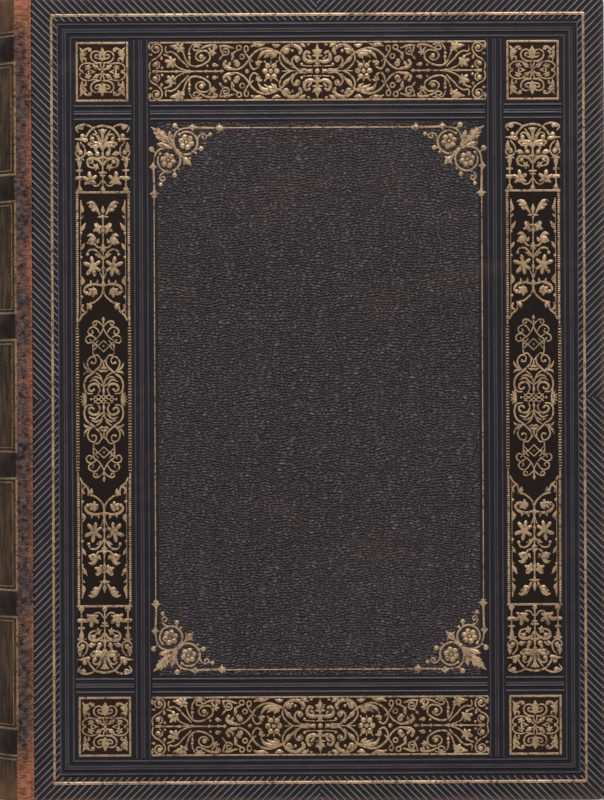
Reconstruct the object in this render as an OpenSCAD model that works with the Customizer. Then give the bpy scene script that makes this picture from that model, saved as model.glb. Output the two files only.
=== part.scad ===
// Antique leather-bound book, lying closed on its back cover.
// X runs from the spine (-X) to the fore-edge (+X), Y from tail to head, Z from back to front.
// The origin is on the resting plane, under the middle of the whole book.

/* [Covers] */
// Width of a covered board, from its joint edge to its fore-edge
cover_w = 205; // [170:1:240]
// Height of a covered board, from head to tail
cover_h = 288; // [240:1:330]
// Thickness of the pasteboard inside each cover
board_t = 4.2; // [3:0.1:6]
// Rounding of the covered corners at the fore-edge
corner_r = 2; // [1:0.5:4]

/* [Leather] */
// Thickness of the leather
leather_t = 0.8; // [0.6:0.1:1.2]
// Width of the leather turned in round the inside of a board
turn_in_w = 12; // [8:1:18]
// Thickness of the pared turn-ins
turn_in_t = 0.5; // [0.3:0.1:0.8]
// Width of the flexible leather strip between a board and the spine
joint_w = 5; // [4:0.5:9]
// Depth of the joint strip's surface below the board's surface
joint_drop = 1; // [0.9:0.1:1.6]

/* [Text block] */
// Thickness of the sewn leaves between the covers
text_t = 46; // [30:1:60]
// Margin of the boards beyond the leaves at head, tail and fore-edge
square_w = 4; // [3:0.5:6]
// Rise of the rounded back above its chord
back_rise = 9; // [6:0.5:12]
// Depth of the hollow in the fore-edge
fore_hollow = 7; // [4:0.5:10]
// Thickness of the pastedown and flyleaf paper
paper_t = 0.3; // [0.2:0.05:0.5]
// Width of the pastedown's margin inside the board's edge
pastedown_in = 4.5; // [3:0.5:8]
// Clearance between the leaves and a closed cover
cover_gap = 0.3; // [0.2:0.05:0.6]

/* [Spine] */
// Thickness of the card lining glued to the back of the leaves
lining_t = 0.8; // [0.5:0.1:1.5]
// Number of raised bands across the spine
band_count = 6; // [4:1:7]
// Distance from the ends of the spine to the middle of the first and last raised band
band_end = 20; // [14:0.5:26]
// Depth of the crease that the leather keeps along each raised band
crease_d = 0.05; // [0.03:0.01:0.15]
// Place of the middle of the bands above the middle of the spine
band_shift = 1.4; // [-4:0.2:4]
// Width of a raised band
band_w = 7; // [4:0.5:9]
// Height of a raised band
band_h = 2; // [1:0.25:2.5]
// Height of the silk endbands over the leaves
endband_h = 2.4; // [1.6:0.2:3]
// Depth of the endbands and of the leather cap over them, across the leaves
cap_depth = 3.2; // [2.4:0.2:4]

/* [Cover design] */
// Height of the ribs and fillets pressed up in the front cover's leather
relief_h = 0.4; // [0.2:0.05:0.5]
// Width of one diagonal rib
rib_w = 0.55; // [0.4:0.05:0.9]
// Distance between ribs, along the edge of the cover
rib_pitch = 2.72; // [2.2:0.04:4]
// Bare edge outside the ends of the ribs
rib_end_gap = 0.7; // [0.5:0.1:1.5]
// Width of the gilt line round the cover
border_line_w = 0.8; // [0.5:0.1:1.2]
// Distance of that line from the joint edge and the fore-edge
border_side = 7.4; // [6:0.1:9]
// Distance of that line from the head and tail edges
border_end = 6.7; // [6:0.1:9]
// Distance from the gilt line to the first fillet, at the sides
fillet_side = 2.2; // [1.6:0.1:3]
// Distance from the gilt line to the first fillet, at head and tail
fillet_end = 3.2; // [2:0.1:4]
// Distance between the three fillets of a group
fillet_pitch = 2.35; // [2:0.05:3]
// Width of the thin fillets
fillet_w = 0.9; // [0.6:0.1:1.2]
// Width of the thick fillet in the middle of a group
fillet_mid_w = 1.6; // [1.2:0.1:2]
// Distance from a fillet group to the gilt panels beside it
panel_gap = 2; // [1.4:0.1:3]
// Width of the gilt panels along the sides
panel_w = 18.6; // [14:0.2:22]
// Height of the gilt panels along head and tail
panel_h = 20.6; // [16:0.2:24]
// Distance from the inner fillets to the thin gilt line round the centre, at the sides
centre_side = 2.3; // [1.6:0.1:4]
// Distance from the inner fillets to the thin gilt line round the centre, at head and tail
centre_end = 3.2; // [1.6:0.1:5]

/* [Gilding] */
// Thickness of the gilding
gilt_t = 0.2; // [0.15:0.05:0.3]
// Width of the frame lines round the panels
frame_line_w = 0.55; // [0.4:0.05:0.8]
// Width of the scrolls
scroll_w = 0.6; // [0.45:0.05:0.8]
// Width of the double lines in the spine's panels
spine_line_w = 0.7; // [0.5:0.1:1.2]
// Distance from a raised band to the gilt line beside it
band_line_gap = 0.5; // [0.3:0.1:3]

/* [Hidden] */
eps = 0.01;

// Levels, from the resting plane up
cover_t = leather_t + board_t + turn_in_t + paper_t;
text_z = cover_t + cover_gap;
total_t = 2 * text_z + text_t;
mid_z = total_t / 2;

// The rounded back is one arc between the two shoulders
shoulder_z = mid_z - joint_drop - leather_t;
back_r = (shoulder_z * shoulder_z + back_rise * back_rise) / (2 * back_rise);
back_angle = asin(shoulder_z / back_r);
lining_r = back_r + lining_t;
spine_r = lining_r + leather_t;
spine_len = cover_h;
page_h = cover_h - 2 * square_w;

// Places along X, with the joint edge of the boards as the reference
hinge_gap = 0.15;
overall_w = cover_w + joint_w + back_rise + lining_t + leather_t + band_h;
hinge_x = overall_w / 2 - cover_w;
cover_x = hinge_x + cover_w / 2;
fore_x = hinge_x + cover_w;
page_x = fore_x - square_w;
back_x = hinge_x - joint_w;
back_cx = back_x + back_r - back_rise;

// Angle on the spine where the raised bands fade out, below the sweep of an opened cover
band_pitch = (cover_h - 2 * band_end) / (band_count - 1);
band_top_r = spine_r + band_h;
crease_side = 0.2;
band_angle = min(back_angle - 2, asin((mid_z - relief_h - 0.6) / band_top_r) - 1);

// The design on the front cover, from its middle outwards
half_w = cover_w / 2;
half_h = cover_h / 2;
line_x = half_w - border_side;
line_y = half_h - border_end;
outer_fillet_x = line_x - fillet_side;
outer_fillet_y = line_y - fillet_end;
group_w = 2 * fillet_pitch;
panel_x1 = outer_fillet_x - group_w - panel_gap;
panel_x0 = panel_x1 - panel_w;
panel_y1 = outer_fillet_y - group_w - panel_gap;
panel_y0 = panel_y1 - panel_h;
inner_fillet_x = panel_x0 - panel_gap;
inner_fillet_y = panel_y0 - panel_gap;
centre_x = inner_fillet_x - group_w - centre_side;
centre_y = inner_fillet_y - group_w - centre_end;
panel_half = inner_fillet_x - group_w - panel_gap / 2;
leather_top = total_t;

LEATHER = [0.19, 0.17, 0.18];
GOLD = [0.78, 0.62, 0.32];
PAPER = [0.87, 0.81, 0.68];
BOARD = [0.62, 0.55, 0.44];

// Points of an arc with centre c, from angle a0 to a1
function arc(c, r, a0, a1, n) =
    [for (i = [0:n]) c + r * [cos(a0 + (a1 - a0) * i / n), sin(a0 + (a1 - a0) * i / n)]];

// Points of one side of a tendril, whose radius goes from r0 to r1 and width from w0 to w1
function tendril_side(c, r0, r1, a0, a1, w0, w1, side, n) =
    [for (i = [0:n]) let (t = i / n, a = a0 + (a1 - a0) * t, r = r0 + (r1 - r0) * t,
        w = side * (w0 + (w1 - w0) * t) / 2) c + (r + w) * [cos(a), sin(a)]];

function reversed(list) = [for (i = [len(list) - 1:-1:0]) list[i]];

// A gilt stroke that curls round c
module tendril(c, r0, r1, a0, a1, w0 = scroll_w, w1 = scroll_w) {
    n = max(3, ceil(abs(a1 - a0) / 36));
    linear_extrude(gilt_t)
        polygon(concat(tendril_side(c, r0, r1, a0, a1, w0, w1, 1, n),
            reversed(tendril_side(c, r0, r1, a0, a1, w0, w1, -1, n))));
}

// A gilt leaf from its foot p, of length l and width w, turned by a
module leaf(p, l, w, a) {
    translate([p[0], p[1], 0]) rotate([0, 0, a]) linear_extrude(gilt_t)
        polygon([[0, 0], [l * 0.3, w * 0.5], [l * 0.68, w * 0.38], [l, 0],
            [l * 0.68, -w * 0.38], [l * 0.3, -w * 0.5]]);
}

// A gilt vine leaf round p with five lobes of length r, its foot lobe turned by a
module vine_leaf(p, r, a) {
    lobes = [1, 0.7, 0.42, 0.7];
    translate([p[0], p[1], 0]) rotate([0, 0, a]) linear_extrude(gilt_t)
        polygon([for (i = [0:19]) r * lobes[i % 4] * [cos(18 * i), sin(18 * i)]]);
}

module bead(p, r) {
    translate([p[0], p[1], 0]) cylinder(h = gilt_t, r = r, $fn = 8);
}

// A straight gilt line from p to q
module line(p, q, w) {
    d = q - p;
    translate([p[0], p[1], 0]) rotate([0, 0, atan2(d[1], d[0])]) translate([0, -w / 2, 0])
        cube([norm(d), w, gilt_t]);
}

// A gilt frame between opposite corners p and q, measured to the middle of its line
module frame(p, q, w) {
    linear_extrude(gilt_t) difference() {
        translate(p - [w, w] / 2) square(q - p + [w, w]);
        translate(p + [w, w] / 2) square(q - p - [w, w]);
    }
}

module both_x() {
    children();
    mirror([1, 0, 0]) children();
}

module both_y() {
    children();
    mirror([0, 1, 0]) children();
}

module four_ways() {
    both_x() both_y() children();
}

// Puts what is drawn on the plane of the front cover on its leather
module on_front(z = 0) {
    translate([cover_x, 0, leather_top + z]) children();
}

// A plate in the place of a covered board, rounded at its two free corners
module cover_plate(inset, z0, z1, r) {
    x0 = hinge_x + hinge_gap;
    x1 = fore_x - inset;
    h = cover_h - 2 * inset;
    translate([0, 0, z0]) linear_extrude(z1 - z0)
        polygon(concat([[x0, -h / 2]], arc([x1 - r, -h / 2 + r], r, -90, 0, 6),
            arc([x1 - r, h / 2 - r], r, 0, 90, 6), [[x0, h / 2]]));
}

// Leather round a board whose outer face is at the resting plane
module cover_leather() {
    difference() {
        cover_plate(0, 0, leather_t + board_t + turn_in_t, corner_r);
        cover_plate(leather_t, leather_t, leather_t + board_t, corner_r - leather_t / 2);
        translate([hinge_x - eps, -cover_h / 2 + turn_in_w, leather_t + board_t])
            cube([cover_w - turn_in_w, cover_h - 2 * turn_in_w, turn_in_t + 1]);
    }
}

module cover_board() {
    cover_plate(leather_t, leather_t, leather_t + board_t, corner_r - leather_t / 2);
}

// Paper over the inside of a board, filling the space between the turn-ins and lapping over them
module cover_pastedown() {
    z = leather_t + board_t;
    w = cover_w - turn_in_w;
    translate([hinge_x + hinge_gap, -cover_h / 2 + turn_in_w, z])
        cube([w - hinge_gap, cover_h - 2 * turn_in_w, turn_in_t]);
    translate([hinge_x + hinge_gap, -cover_h / 2 + pastedown_in, z + turn_in_t])
        cube([cover_w - pastedown_in - hinge_gap, cover_h - 2 * pastedown_in, paper_t]);
}

// Turns a back-cover piece over to the front
module as_front() {
    translate([0, 0, total_t]) mirror([0, 0, 1]) children();
}

module front_board() {
    color(BOARD) as_front() cover_board();
}

module back_board() {
    color(BOARD) cover_board();
}

module front_pastedown() {
    color(PAPER) as_front() cover_pastedown();
}

module back_pastedown() {
    color(PAPER) cover_pastedown();
}

// One rib, from its foot p up and outwards at 45 degrees, stopped short of the cover's edge
function rib(p, along_x) =
    let (w = rib_w * sqrt(2), ex = half_w - rib_end_gap, ey = half_h - rib_end_gap,
        run = min(ex - p[0], ey - p[1] - (along_x ? 0 : w)), side = along_x ? [w, 0] : [0, w])
    along_x ? [p + side, p + side + [run, run], p + [run, run], p]
        : [p, p + [run, run], p + side + [run, run], p + side];

// The raised line and its comb of ribs, in the quarter of the cover towards head and fore-edge
module rib_comb() {
    x = line_x + border_line_w / 2;
    y = line_y + border_line_w / 2;
    w = rib_w * sqrt(2);
    // the last ribs before the corner leave room for the corner's own rib
    side_n = floor((y - 2 * rib_w) / rib_pitch) - 1;
    end_n = floor((x - 2 * rib_w) / rib_pitch) - 1;
    side_pitch = y / (side_n + 2);
    end_pitch = x / (end_n + 2);
    corner_run = min(half_w - x, half_h - y) - rib_end_gap;
    side_ribs = [for (i = [0:side_n]) each rib([x, i * side_pitch + side_pitch / 2], false)];
    end_ribs = [for (i = [end_n:-1:0]) each rib([i * end_pitch + end_pitch / 2, y], true)];
    corner_rib = [[x, y - w / 2], [x + corner_run, y + corner_run - w / 2],
        [x + corner_run, y + corner_run], [x + corner_run - w / 2, y + corner_run],
        [x - w / 2, y]];
    linear_extrude(relief_h) polygon(concat([[0, line_y - border_line_w / 2],
        [line_x - border_line_w / 2, line_y - border_line_w / 2],
        [line_x - border_line_w / 2, 0], [x, 0]], side_ribs, corner_rib, end_ribs, [[0, y]]));
}

// Chevrons where the ribs change direction, at the middle of each side
module chevrons(reach, start, limit) {
    w = rib_w * sqrt(2);
    for (s = [start + rib_pitch / 2:rib_pitch:limit - rib_pitch / 2])
        linear_extrude(relief_h)
            polygon([[0, s], [limit - s, limit], [limit - s - w, limit], [0, s + w],
                [s + w - limit, limit], [s - limit, limit]]);
}

// A raised bar between opposite corners p and q
module ridge(p, q) {
    translate([p[0], p[1], 0]) cube([q[0] - p[0], q[1] - p[1], relief_h]);
}

function fillet_width(i) = i == 1 ? fillet_mid_w : fillet_w;

// Three raised frames, one inside the other
module fillet_frames() {
    for (i = [0:2]) {
        w = fillet_width(i);
        p = [outer_fillet_x - i * fillet_pitch, outer_fillet_y - i * fillet_pitch];
        linear_extrude(relief_h) difference() {
            square(2 * p + [w, w], center = true);
            square(2 * p - [w, w], center = true);
        }
    }
}

// Fillets that part the side columns and the head and tail panels from the centre
module inner_fillets() {
    top = outer_fillet_y - group_w - fillet_w;
    side = outer_fillet_x - group_w - fillet_w;
    for (i = [0:2]) {
        w = fillet_width(i);
        x = inner_fillet_x - i * fillet_pitch;
        y = inner_fillet_y - i * fillet_pitch;
        both_x() ridge([x - w / 2, -top], [x + w / 2, top]);
        both_y() ridge([-panel_half, y - w / 2], [panel_half, y + w / 2]);
        four_ways() ridge([inner_fillet_x + fillet_w, y - w / 2], [side, y + w / 2]);
    }
}

module front_leather() {
    limit_y = half_h - rib_end_gap;
    limit_x = half_w - rib_end_gap;
    color(LEATHER) {
        as_front() cover_leather();
        on_front() {
            four_ways() rib_comb();
            both_y() chevrons(half_w, line_y + border_line_w / 2, limit_y);
            both_x() rotate([0, 0, -90]) chevrons(half_h, line_x + border_line_w / 2, limit_x);
            fillet_frames();
            inner_fillets();
        }
    }
}

// The back cover has the same frames as blind lines, pressed into a flat face
module back_leather() {
    color(LEATHER) difference() {
        cover_leather();
        translate([cover_x, 0, -eps]) {
            for (p = [[line_x, line_y], [outer_fillet_x - fillet_pitch, outer_fillet_y - fillet_pitch],
                    [centre_x, centre_y]])
                linear_extrude(relief_h / 2 + eps) difference() {
                    square(2 * p + [fillet_w, fillet_w], center = true);
                    square(2 * p - [fillet_w, fillet_w], center = true);
                }
        }
    }
}

// Leaves cut flush round a hollow fore-edge, with a rounded back between two shoulders
module pages() {
    z0 = text_z + paper_t;
    half = mid_z - z0;
    fore_r = (half * half + fore_hollow * fore_hollow) / (2 * fore_hollow);
    neck = hinge_x - hinge_gap;
    color(PAPER) {
        difference() {
            translate([neck, -page_h / 2, z0]) cube([page_x - neck, page_h, 2 * half]);
            translate([page_x - fore_hollow + fore_r, 0, mid_z]) rotate([90, 0, 0])
                cylinder(h = page_h + 2, r = fore_r, center = true, $fn = 240);
        }
        intersection() {
            translate([back_x - back_rise, -page_h / 2, mid_z - shoulder_z])
                cube([neck - back_x + back_rise, page_h, 2 * shoulder_z]);
            translate([back_cx, 0, mid_z]) rotate([90, 0, 0])
                cylinder(h = page_h + 2, r = back_r, center = true, $fn = 240);
        }
    }
}

module flyleaf(z) {
    neck = hinge_x + 1;
    color(PAPER) translate([neck, -page_h / 2, z]) cube([page_x - neck, page_h, paper_t]);
}

module back_flyleaf() {
    flyleaf(text_z);
}

module front_flyleaf() {
    flyleaf(total_t - text_z - paper_t);
}

// Sweeps an outline of radius and height round the back, to the same angle on both sides
module round_the_back(half_angle) {
    translate([back_cx, 0, mid_z]) rotate([-90, 0, 0]) rotate([0, 0, 180 - half_angle])
        rotate_extrude(angle = 2 * half_angle) children();
}

module spine_lining() {
    color(BOARD) round_the_back(back_angle)
        translate([back_r, -page_h / 2]) square([lining_t, page_h]);
}

function band_y(i) = band_shift + (i - (band_count - 1) / 2) * band_pitch;

// Outline of a raised band over radius r, as high as h
module band_outline(y, r, h, w) {
    n = 8;
    polygon(concat([[r - crease_d - eps, y - w / 2]],
        [for (i = [0:n]) [r + h * sin(180 * i / n), y - w / 2 + w * i / n]],
        [[r - crease_d - eps, y + w / 2]]));
}

// Strips glued over the lining, which the leather is moulded over
module spine_bands() {
    color(BOARD) for (i = [0:band_count - 1])
        round_the_back(band_angle - 1) translate([0, band_y(i)]) intersection() {
            translate([lining_r, -band_w / 2]) square([band_h + 1, band_w]);
            band_outline(0, lining_r, band_h, band_w);
        }
}

// Leather cap that is turned over an endband
module head_cap(end) {
    y = end > 0 ? spine_len / 2 - leather_t : -spine_len / 2;
    translate([back_r - cap_depth, y]) square([spine_r - back_r + cap_depth, leather_t]);
}

// Leather strip over a shoulder, which bends when the cover opens
module joint_strip(z) {
    translate([back_x - eps, -spine_len / 2, z])
        cube([joint_w - hinge_gap + eps, spine_len, leather_t]);
}

// Outline of the leather over the spine, creased inside and out along each raised band
module skin_outline() {
    difference() {
        translate([lining_r, -spine_len / 2]) square([leather_t, spine_len]);
        for (i = [0:band_count - 1]) {
            translate([lining_r - 1, band_y(i) - band_w / 2 + crease_side])
                square([1 + crease_d, band_w - 2 * crease_side]);
            translate([spine_r - crease_d, band_y(i) - band_w / 2]) square([1, band_w]);
        }
    }
}

module spine_leather() {
    color([0.27, 0.2, 0.17]) {
        difference() {
            union() {
                round_the_back(back_angle) skin_outline();
                for (i = [0:band_count - 1])
                    round_the_back(band_angle)
                        band_outline(band_y(i), spine_r, band_h, band_w + 2 * leather_t);
            }
            spine_bands();
        }
        round_the_back(back_angle) head_cap(1);
        round_the_back(back_angle) head_cap(-1);
        joint_strip(mid_z + shoulder_z);
        joint_strip(mid_z - shoulder_z - leather_t);
    }
}

// A rolled core wound with silk, flat where it sits on the leaves
module endband(end) {
    r = cap_depth / 2 - 0.1;
    color([0.55, 0.2, 0.15]) mirror([0, end > 0 ? 0 : 1, 0])
        round_the_back(back_angle - 4) translate([back_r - cap_depth / 2, page_h / 2])
            intersection() {
                translate([0, endband_h - r]) circle(r = r, $fn = 24);
                translate([-r, 0]) square([2 * r, endband_h]);
            }
}

module head_endband() {
    endband(1);
}

module tail_endband() {
    endband(-1);
}

// One gilt line across the spine at height y
module spine_line(y, half_angle) {
    round_the_back(half_angle) translate([spine_r, y - spine_line_w / 2])
        square([gilt_t, spine_line_w]);
}

// A gilt frame on the spine from height y0 to y1
module spine_frame(y0, y1, half_angle) {
    line_angle = spine_line_w / spine_r * 180 / PI;
    difference() {
        round_the_back(half_angle) translate([spine_r, y0]) square([gilt_t, y1 - y0]);
        round_the_back(half_angle - line_angle) translate([spine_r - 1, y0 + spine_line_w])
            square([gilt_t + 2, y1 - y0 - 2 * spine_line_w]);
    }
}

// Double frames between the raised bands, and double lines at head and tail
module spine_gilding() {
    edge = (band_w + 2 * leather_t) / 2 + band_line_gap;
    angle = back_angle - 1.2;
    step = 2 * spine_line_w;
    color(GOLD) {
        for (i = [0:band_count - 2]) {
            y0 = band_y(i) + edge;
            y1 = band_y(i + 1) - edge;
            spine_frame(y0, y1, angle);
            spine_frame(y0 + step, y1 - step, angle - step / spine_r * 180 / PI);
        }
        for (k = [0:1]) {
            spine_line(band_y(band_count - 1) + edge + k * step, angle);
            spine_line(band_y(0) - edge - k * step, angle);
        }
    }
}

module gilt_border_line() {
    color(GOLD) on_front(relief_h)
        frame([-line_x, -line_y], [line_x, line_y], border_line_w * 0.8);
}

// Scrollwork of one corner square, drawn round its middle
module square_motif(w, h) {
    both_x() {
        both_y() {
            tendril([w * 0.14, h * 0.23], w * 0.13, w * 0.1, -60, 190);
            tendril([w * 0.3, h * 0.1], w * 0.12, w * 0.05, 200, -60);
            leaf([w * 0.36, h * 0.36], w * 0.16, w * 0.1, 45);
            leaf([w * 0.3, h * 0.27], w * 0.14, w * 0.07, 100);
            leaf([w * 0.42, h * 0.02], w * 0.13, w * 0.06, 80);
            bead([w * 0.12, h * 0.08], w * 0.035);
        }
    }
    both_y() leaf([0, h * 0.31], h * 0.14, w * 0.12, 90);
    bead([0, 0], w * 0.05);
}

module gilt_corner_squares() {
    cx = (panel_x0 + panel_x1) / 2;
    cy = (panel_y0 + panel_y1) / 2;
    color(GOLD) on_front() four_ways() {
        frame([panel_x0 + 0.5, panel_y0], [panel_x1 - 0.3, panel_y1], frame_line_w);
        translate([cx, cy, 0]) square_motif(panel_w, panel_h);
    }
}

// Half of the arabesque of a head or tail panel, from its middle out to one end, on a grid of 60 by 20
module panel_motif(l, h) {
    x = l / 60;
    y = h / 20;
    both_y() {
        // scrolls beside the palmette
        tendril([3 * x, 5.1 * y], 1.9 * y, 1.6 * y, -120, 110);
        tendril([7.1 * x, 2.9 * y], 2.3 * y, y, -70, 230);
        tendril([9.6 * x, 6.3 * y], 2.7 * y, 2.5 * y, 10, 180, scroll_w * 1.5, scroll_w);
        // great arc round the flower, with a long leaf under it
        tendril([18.3 * x, -2.4 * y], 10.4 * y, 10.4 * y, 22, 160, scroll_w * 1.2, scroll_w * 1.2);
        leaf([13.8 * x, 6.2 * y], 7 * y, 1.7 * y, -10);
        for (a = [40, 90, 140])
            leaf([16.7 * x, 0.5 * y], 3 * y, 1.5 * y, a);
        // knot of three rings
        for (p = [[25.4, 8.1], [28.4, 8.2], [26.9, 5]])
            tendril([p[0] * x, p[1] * y], 0.9 * y, 0.9 * y, 0, 330);
        leaf([28.2 * x, 2 * y], 2.6 * y, 1.6 * y, 60);
        tendril([32 * x, 2.9 * y], 2.1 * y, 1.6 * y, -120, 60);
        tendril([32.7 * x, 7.3 * y], 1.6 * y, 0.8 * y, 180, -100);
        // spiral on the axis
        tendril([41.2 * x, 5.2 * y], 2.9 * y, 1.3 * y, -100, 240);
        bead([41.2 * x, 5.3 * y], 0.6 * y);
        leaf([36.2 * x, 6.4 * y], 1.7 * y, 1.2 * y, 30);
        leaf([36 * x, 2.6 * y], 1.7 * y, 1.2 * y, 20);
        // vine leaves and the stem between them
        vine_leaf([52.2 * x, 3.1 * y], 2.1 * y, 12);
        vine_leaf([49.6 * x, 8 * y], 1.7 * y, 40);
        line([46.6 * x, 2 * y], [51.4 * x, 6.2 * y], scroll_w * 0.9);
        tendril([46 * x, 6.6 * y], 1.9 * y, 1.7 * y, -60, 70);
        // end scroll
        tendril([56.9 * x, 8 * y], 1.7 * y, 0.8 * y, -160, 170);
        tendril([56.4 * x, 2.4 * y], 3 * y, 3 * y, -20, 100);
        bead([57 * x, 2.4 * y], 0.9 * y);
    }
    for (c = [16.7, 25.2, 36.4, 39.7, 45.9, 50.4, 58])
        bead([c * x, 0], 0.6 * y);
    line([34.4 * x, 0], [57.4 * x, 0], scroll_w * 0.8);
    leaf([7.4 * x, 0], 3.4 * y, 1.3 * y, 180);
}

module end_panel() {
    l = panel_half;
    both_x() panel_motif(l, panel_h);
    bead([0, 0], panel_h * 0.06);
    both_y() {
        leaf([0, panel_h * 0.12], panel_h * 0.3, panel_h * 0.14, 90);
        line([-l, panel_h / 2], [l, panel_h / 2], frame_line_w);
    }
}

module gilt_head_panel() {
    color(GOLD) on_front() translate([0, (panel_y0 + panel_y1) / 2, 0]) end_panel();
}

module gilt_tail_panel() {
    color(GOLD) on_front() translate([0, -(panel_y0 + panel_y1) / 2, 0]) end_panel();
}

// A side column above its middle, on a grid of 20 across: end box, framed panel, half cartouche
module half_column() {
    u = panel_w / 20;
    foot = inner_fillet_y - group_w - 28 * u;
    arch = foot - 49 * u;
    // end box, closed by an arch between two balusters
    tendril([0, foot + 18.6 * u], 7 * u, 7 * u, 22, 158);
    line([-10 * u, foot], [10 * u, foot], frame_line_w);
    both_x() {
        leaf([4.4 * u, foot + 24.6 * u], 5.4 * u, 1.7 * u, 5);
        bead([7.8 * u, foot + 22.2 * u], 0.7 * u);
        leaf([6.4 * u, foot + 20.3 * u], 3.8 * u, 1.2 * u, 0);
        leaf([0.5 * u, foot + 18 * u], 6 * u, 1.1 * u, 66);
        leaf([0.6 * u, foot + 16.6 * u], 5.2 * u, 1.9 * u, 20);
        tendril([8.1 * u, foot + 15.6 * u], 1.8 * u, 0.9 * u, 120, -170);
        tendril([3.2 * u, foot + 11 * u], 2.2 * u, 1.5 * u, 170, -60, scroll_w * 1.5, scroll_w);
        vine_leaf([4.6 * u, foot + 4.6 * u], 3.2 * u, 90);
        line([8.9 * u, foot + 0.4 * u], [8.9 * u, foot + 9.4 * u], scroll_w);
        line([8.9 * u, foot + 9.4 * u], [8.9 * u, foot + 12.4 * u], 1.7 * u);
        line([7.9 * u, foot + 5.5 * u], [9.9 * u, foot + 5.5 * u], 1.2 * u);
    }
    line([0, foot + 0.4 * u], [0, foot + 13.4 * u], scroll_w);
    leaf([0, foot + 16 * u], 8.4 * u, 2.4 * u, 90);
    // framed panel with a candelabrum, closed by an ogee
    both_x() {
        line([9.8 * u, foot - 0.4 * u], [9.8 * u, arch], u);
        line([8.5 * u, foot - 3 * u], [8.5 * u, arch + 2 * u], scroll_w * 0.5);
        leaf([1.2 * u, foot - 8.6 * u], 6.4 * u, 1.7 * u, 46);
        leaf([0.3 * u, foot - 15 * u], 4.2 * u, 2.1 * u, 54);
        tendril([3.3 * u, foot - 19.4 * u], 1.9 * u, 1.2 * u, -120, 120, scroll_w, scroll_w * 1.5);
        tendril([3.6 * u, foot - 24 * u], 2.1 * u, 1.7 * u, 150, 0);
        vine_leaf([3.7 * u, foot - 28.6 * u], 3.1 * u, 90);
        tendril([4.6 * u, foot - 37.4 * u], 2.2 * u, 1.5 * u, 130, -80, scroll_w * 1.4, scroll_w);
        tendril([6.5 * u, foot - 36.6 * u], 6.5 * u, 6.4 * u, 183, 258);
        tendril([3.5 * u, arch], 6.1 * u, 6.1 * u, 72, 2);
    }
    leaf([0, foot - 9.4 * u], 3.8 * u, 1.4 * u, 90);
    line([0, foot - 36 * u], [0, foot - 7.6 * u], scroll_w);
    // upper half of the cartouche
    both_x() {
        tendril([2.7 * u, 29 * u], 1.2 * u, 0.7 * u, 190, -90);
        tendril([4.3 * u, 26.2 * u], 1.5 * u, 0.8 * u, 180, -110);
        tendril([5.6 * u, 22.9 * u], 1.4 * u, 0.8 * u, 160, -140);
        line([0.4 * u, 27 * u], [3.9 * u, 22.4 * u], scroll_w);
        line([3.9 * u, 22.4 * u], [3.9 * u, 17.4 * u], scroll_w);
        line([3.9 * u, 17.4 * u], [0.6 * u, 14.6 * u], scroll_w);
        tendril([4.5 * u, 13.8 * u], 1.9 * u, u, -80, 210);
        line([0.7 * u, 14.4 * u], [3.4 * u, 8.8 * u], scroll_w);
        tendril([4.2 * u, 4.9 * u], 3.4 * u, 3.1 * u, 105, -70, scroll_w * 1.3, scroll_w);
        tendril([3.8 * u, 4.3 * u], 1.6 * u, 0.8 * u, 190, -110);
        leaf([0.3 * u, 4.6 * u], 4.2 * u, 1.1 * u, 72);
        line([9.9 * u, 0], [9.9 * u, arch - 2 * u], u);
    }
    vine_leaf([0, 20 * u], 2 * u, 90);
    leaf([0, 28 * u], 3.6 * u, 1.3 * u, 90);
    bead([0, 0], u);
}

module column() {
    both_y() half_column();
}

module gilt_joint_side_column() {
    color(GOLD) on_front() translate([-(panel_x0 + panel_x1) / 2, 0, 0]) column();
}

module gilt_fore_side_column() {
    color(GOLD) on_front() translate([(panel_x0 + panel_x1) / 2, 0, 0]) column();
}

// Corner piece of the centre frame, drawn from the frame's corner at [0, 0] inwards along -X and -Y
module centre_corner() {
    k = panel_w / 20;
    for (s = [0, 1]) mirror([s, -s, 0]) {
        tendril([-5.9 * k, -11.8 * k], 4.1 * k, 4.1 * k, -150, 120, scroll_w * 1.1, scroll_w * 0.8);
        vine_leaf([-5.7 * k, -11.6 * k], 1.9 * k, 30);
        tendril([-3.5 * k, -18.4 * k], 1.5 * k, 0.8 * k, 100, -150);
        bead([-2.6 * k, -21.4 * k], 0.6 * k);
        bead([-8.4 * k, -18.2 * k], 0.8 * k);
        leaf([-7.6 * k, -6.6 * k], 6 * k, 1.6 * k, 75);
        line([-1.4 * k, -8.8 * k], [0, -14 * k], scroll_w * 0.8);
        bead([0.7 * k, -7.6 * k], k);
        bead([0, -14.6 * k], 1.1 * k);
        line([0, -15.6 * k], [0, -24 * k], scroll_w * 0.8);
        bead([0, -25.2 * k], 1.4 * k);
        bead([0, -27.6 * k], 0.6 * k);
    }
    leaf([-6.4 * k, -6.4 * k], 9 * k, 3.4 * k, 45);
    bead([-8.9 * k, -8.9 * k], 1.2 * k);
    leaf([-9.6 * k, -9.6 * k], 5.4 * k, 3 * k, -135);
}

module gilt_centre_frame() {
    reach = 28.2 * panel_w / 20;
    color(GOLD) on_front() {
        both_y() line([reach - centre_x, centre_y], [centre_x - reach, centre_y], 0.5);
        both_x() line([centre_x, reach - centre_y], [centre_x, centre_y - reach], 0.5);
        four_ways() translate([centre_x, centre_y, 0]) centre_corner();
    }
}

pages();
front_flyleaf();
back_flyleaf();
head_endband();
tail_endband();
spine_lining();
spine_bands();
spine_leather();
spine_gilding();
front_board();
front_leather();
front_pastedown();
gilt_border_line();
gilt_corner_squares();
gilt_head_panel();
gilt_tail_panel();
gilt_joint_side_column();
gilt_fore_side_column();
gilt_centre_frame();
back_board();
back_leather();
back_pastedown();
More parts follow.
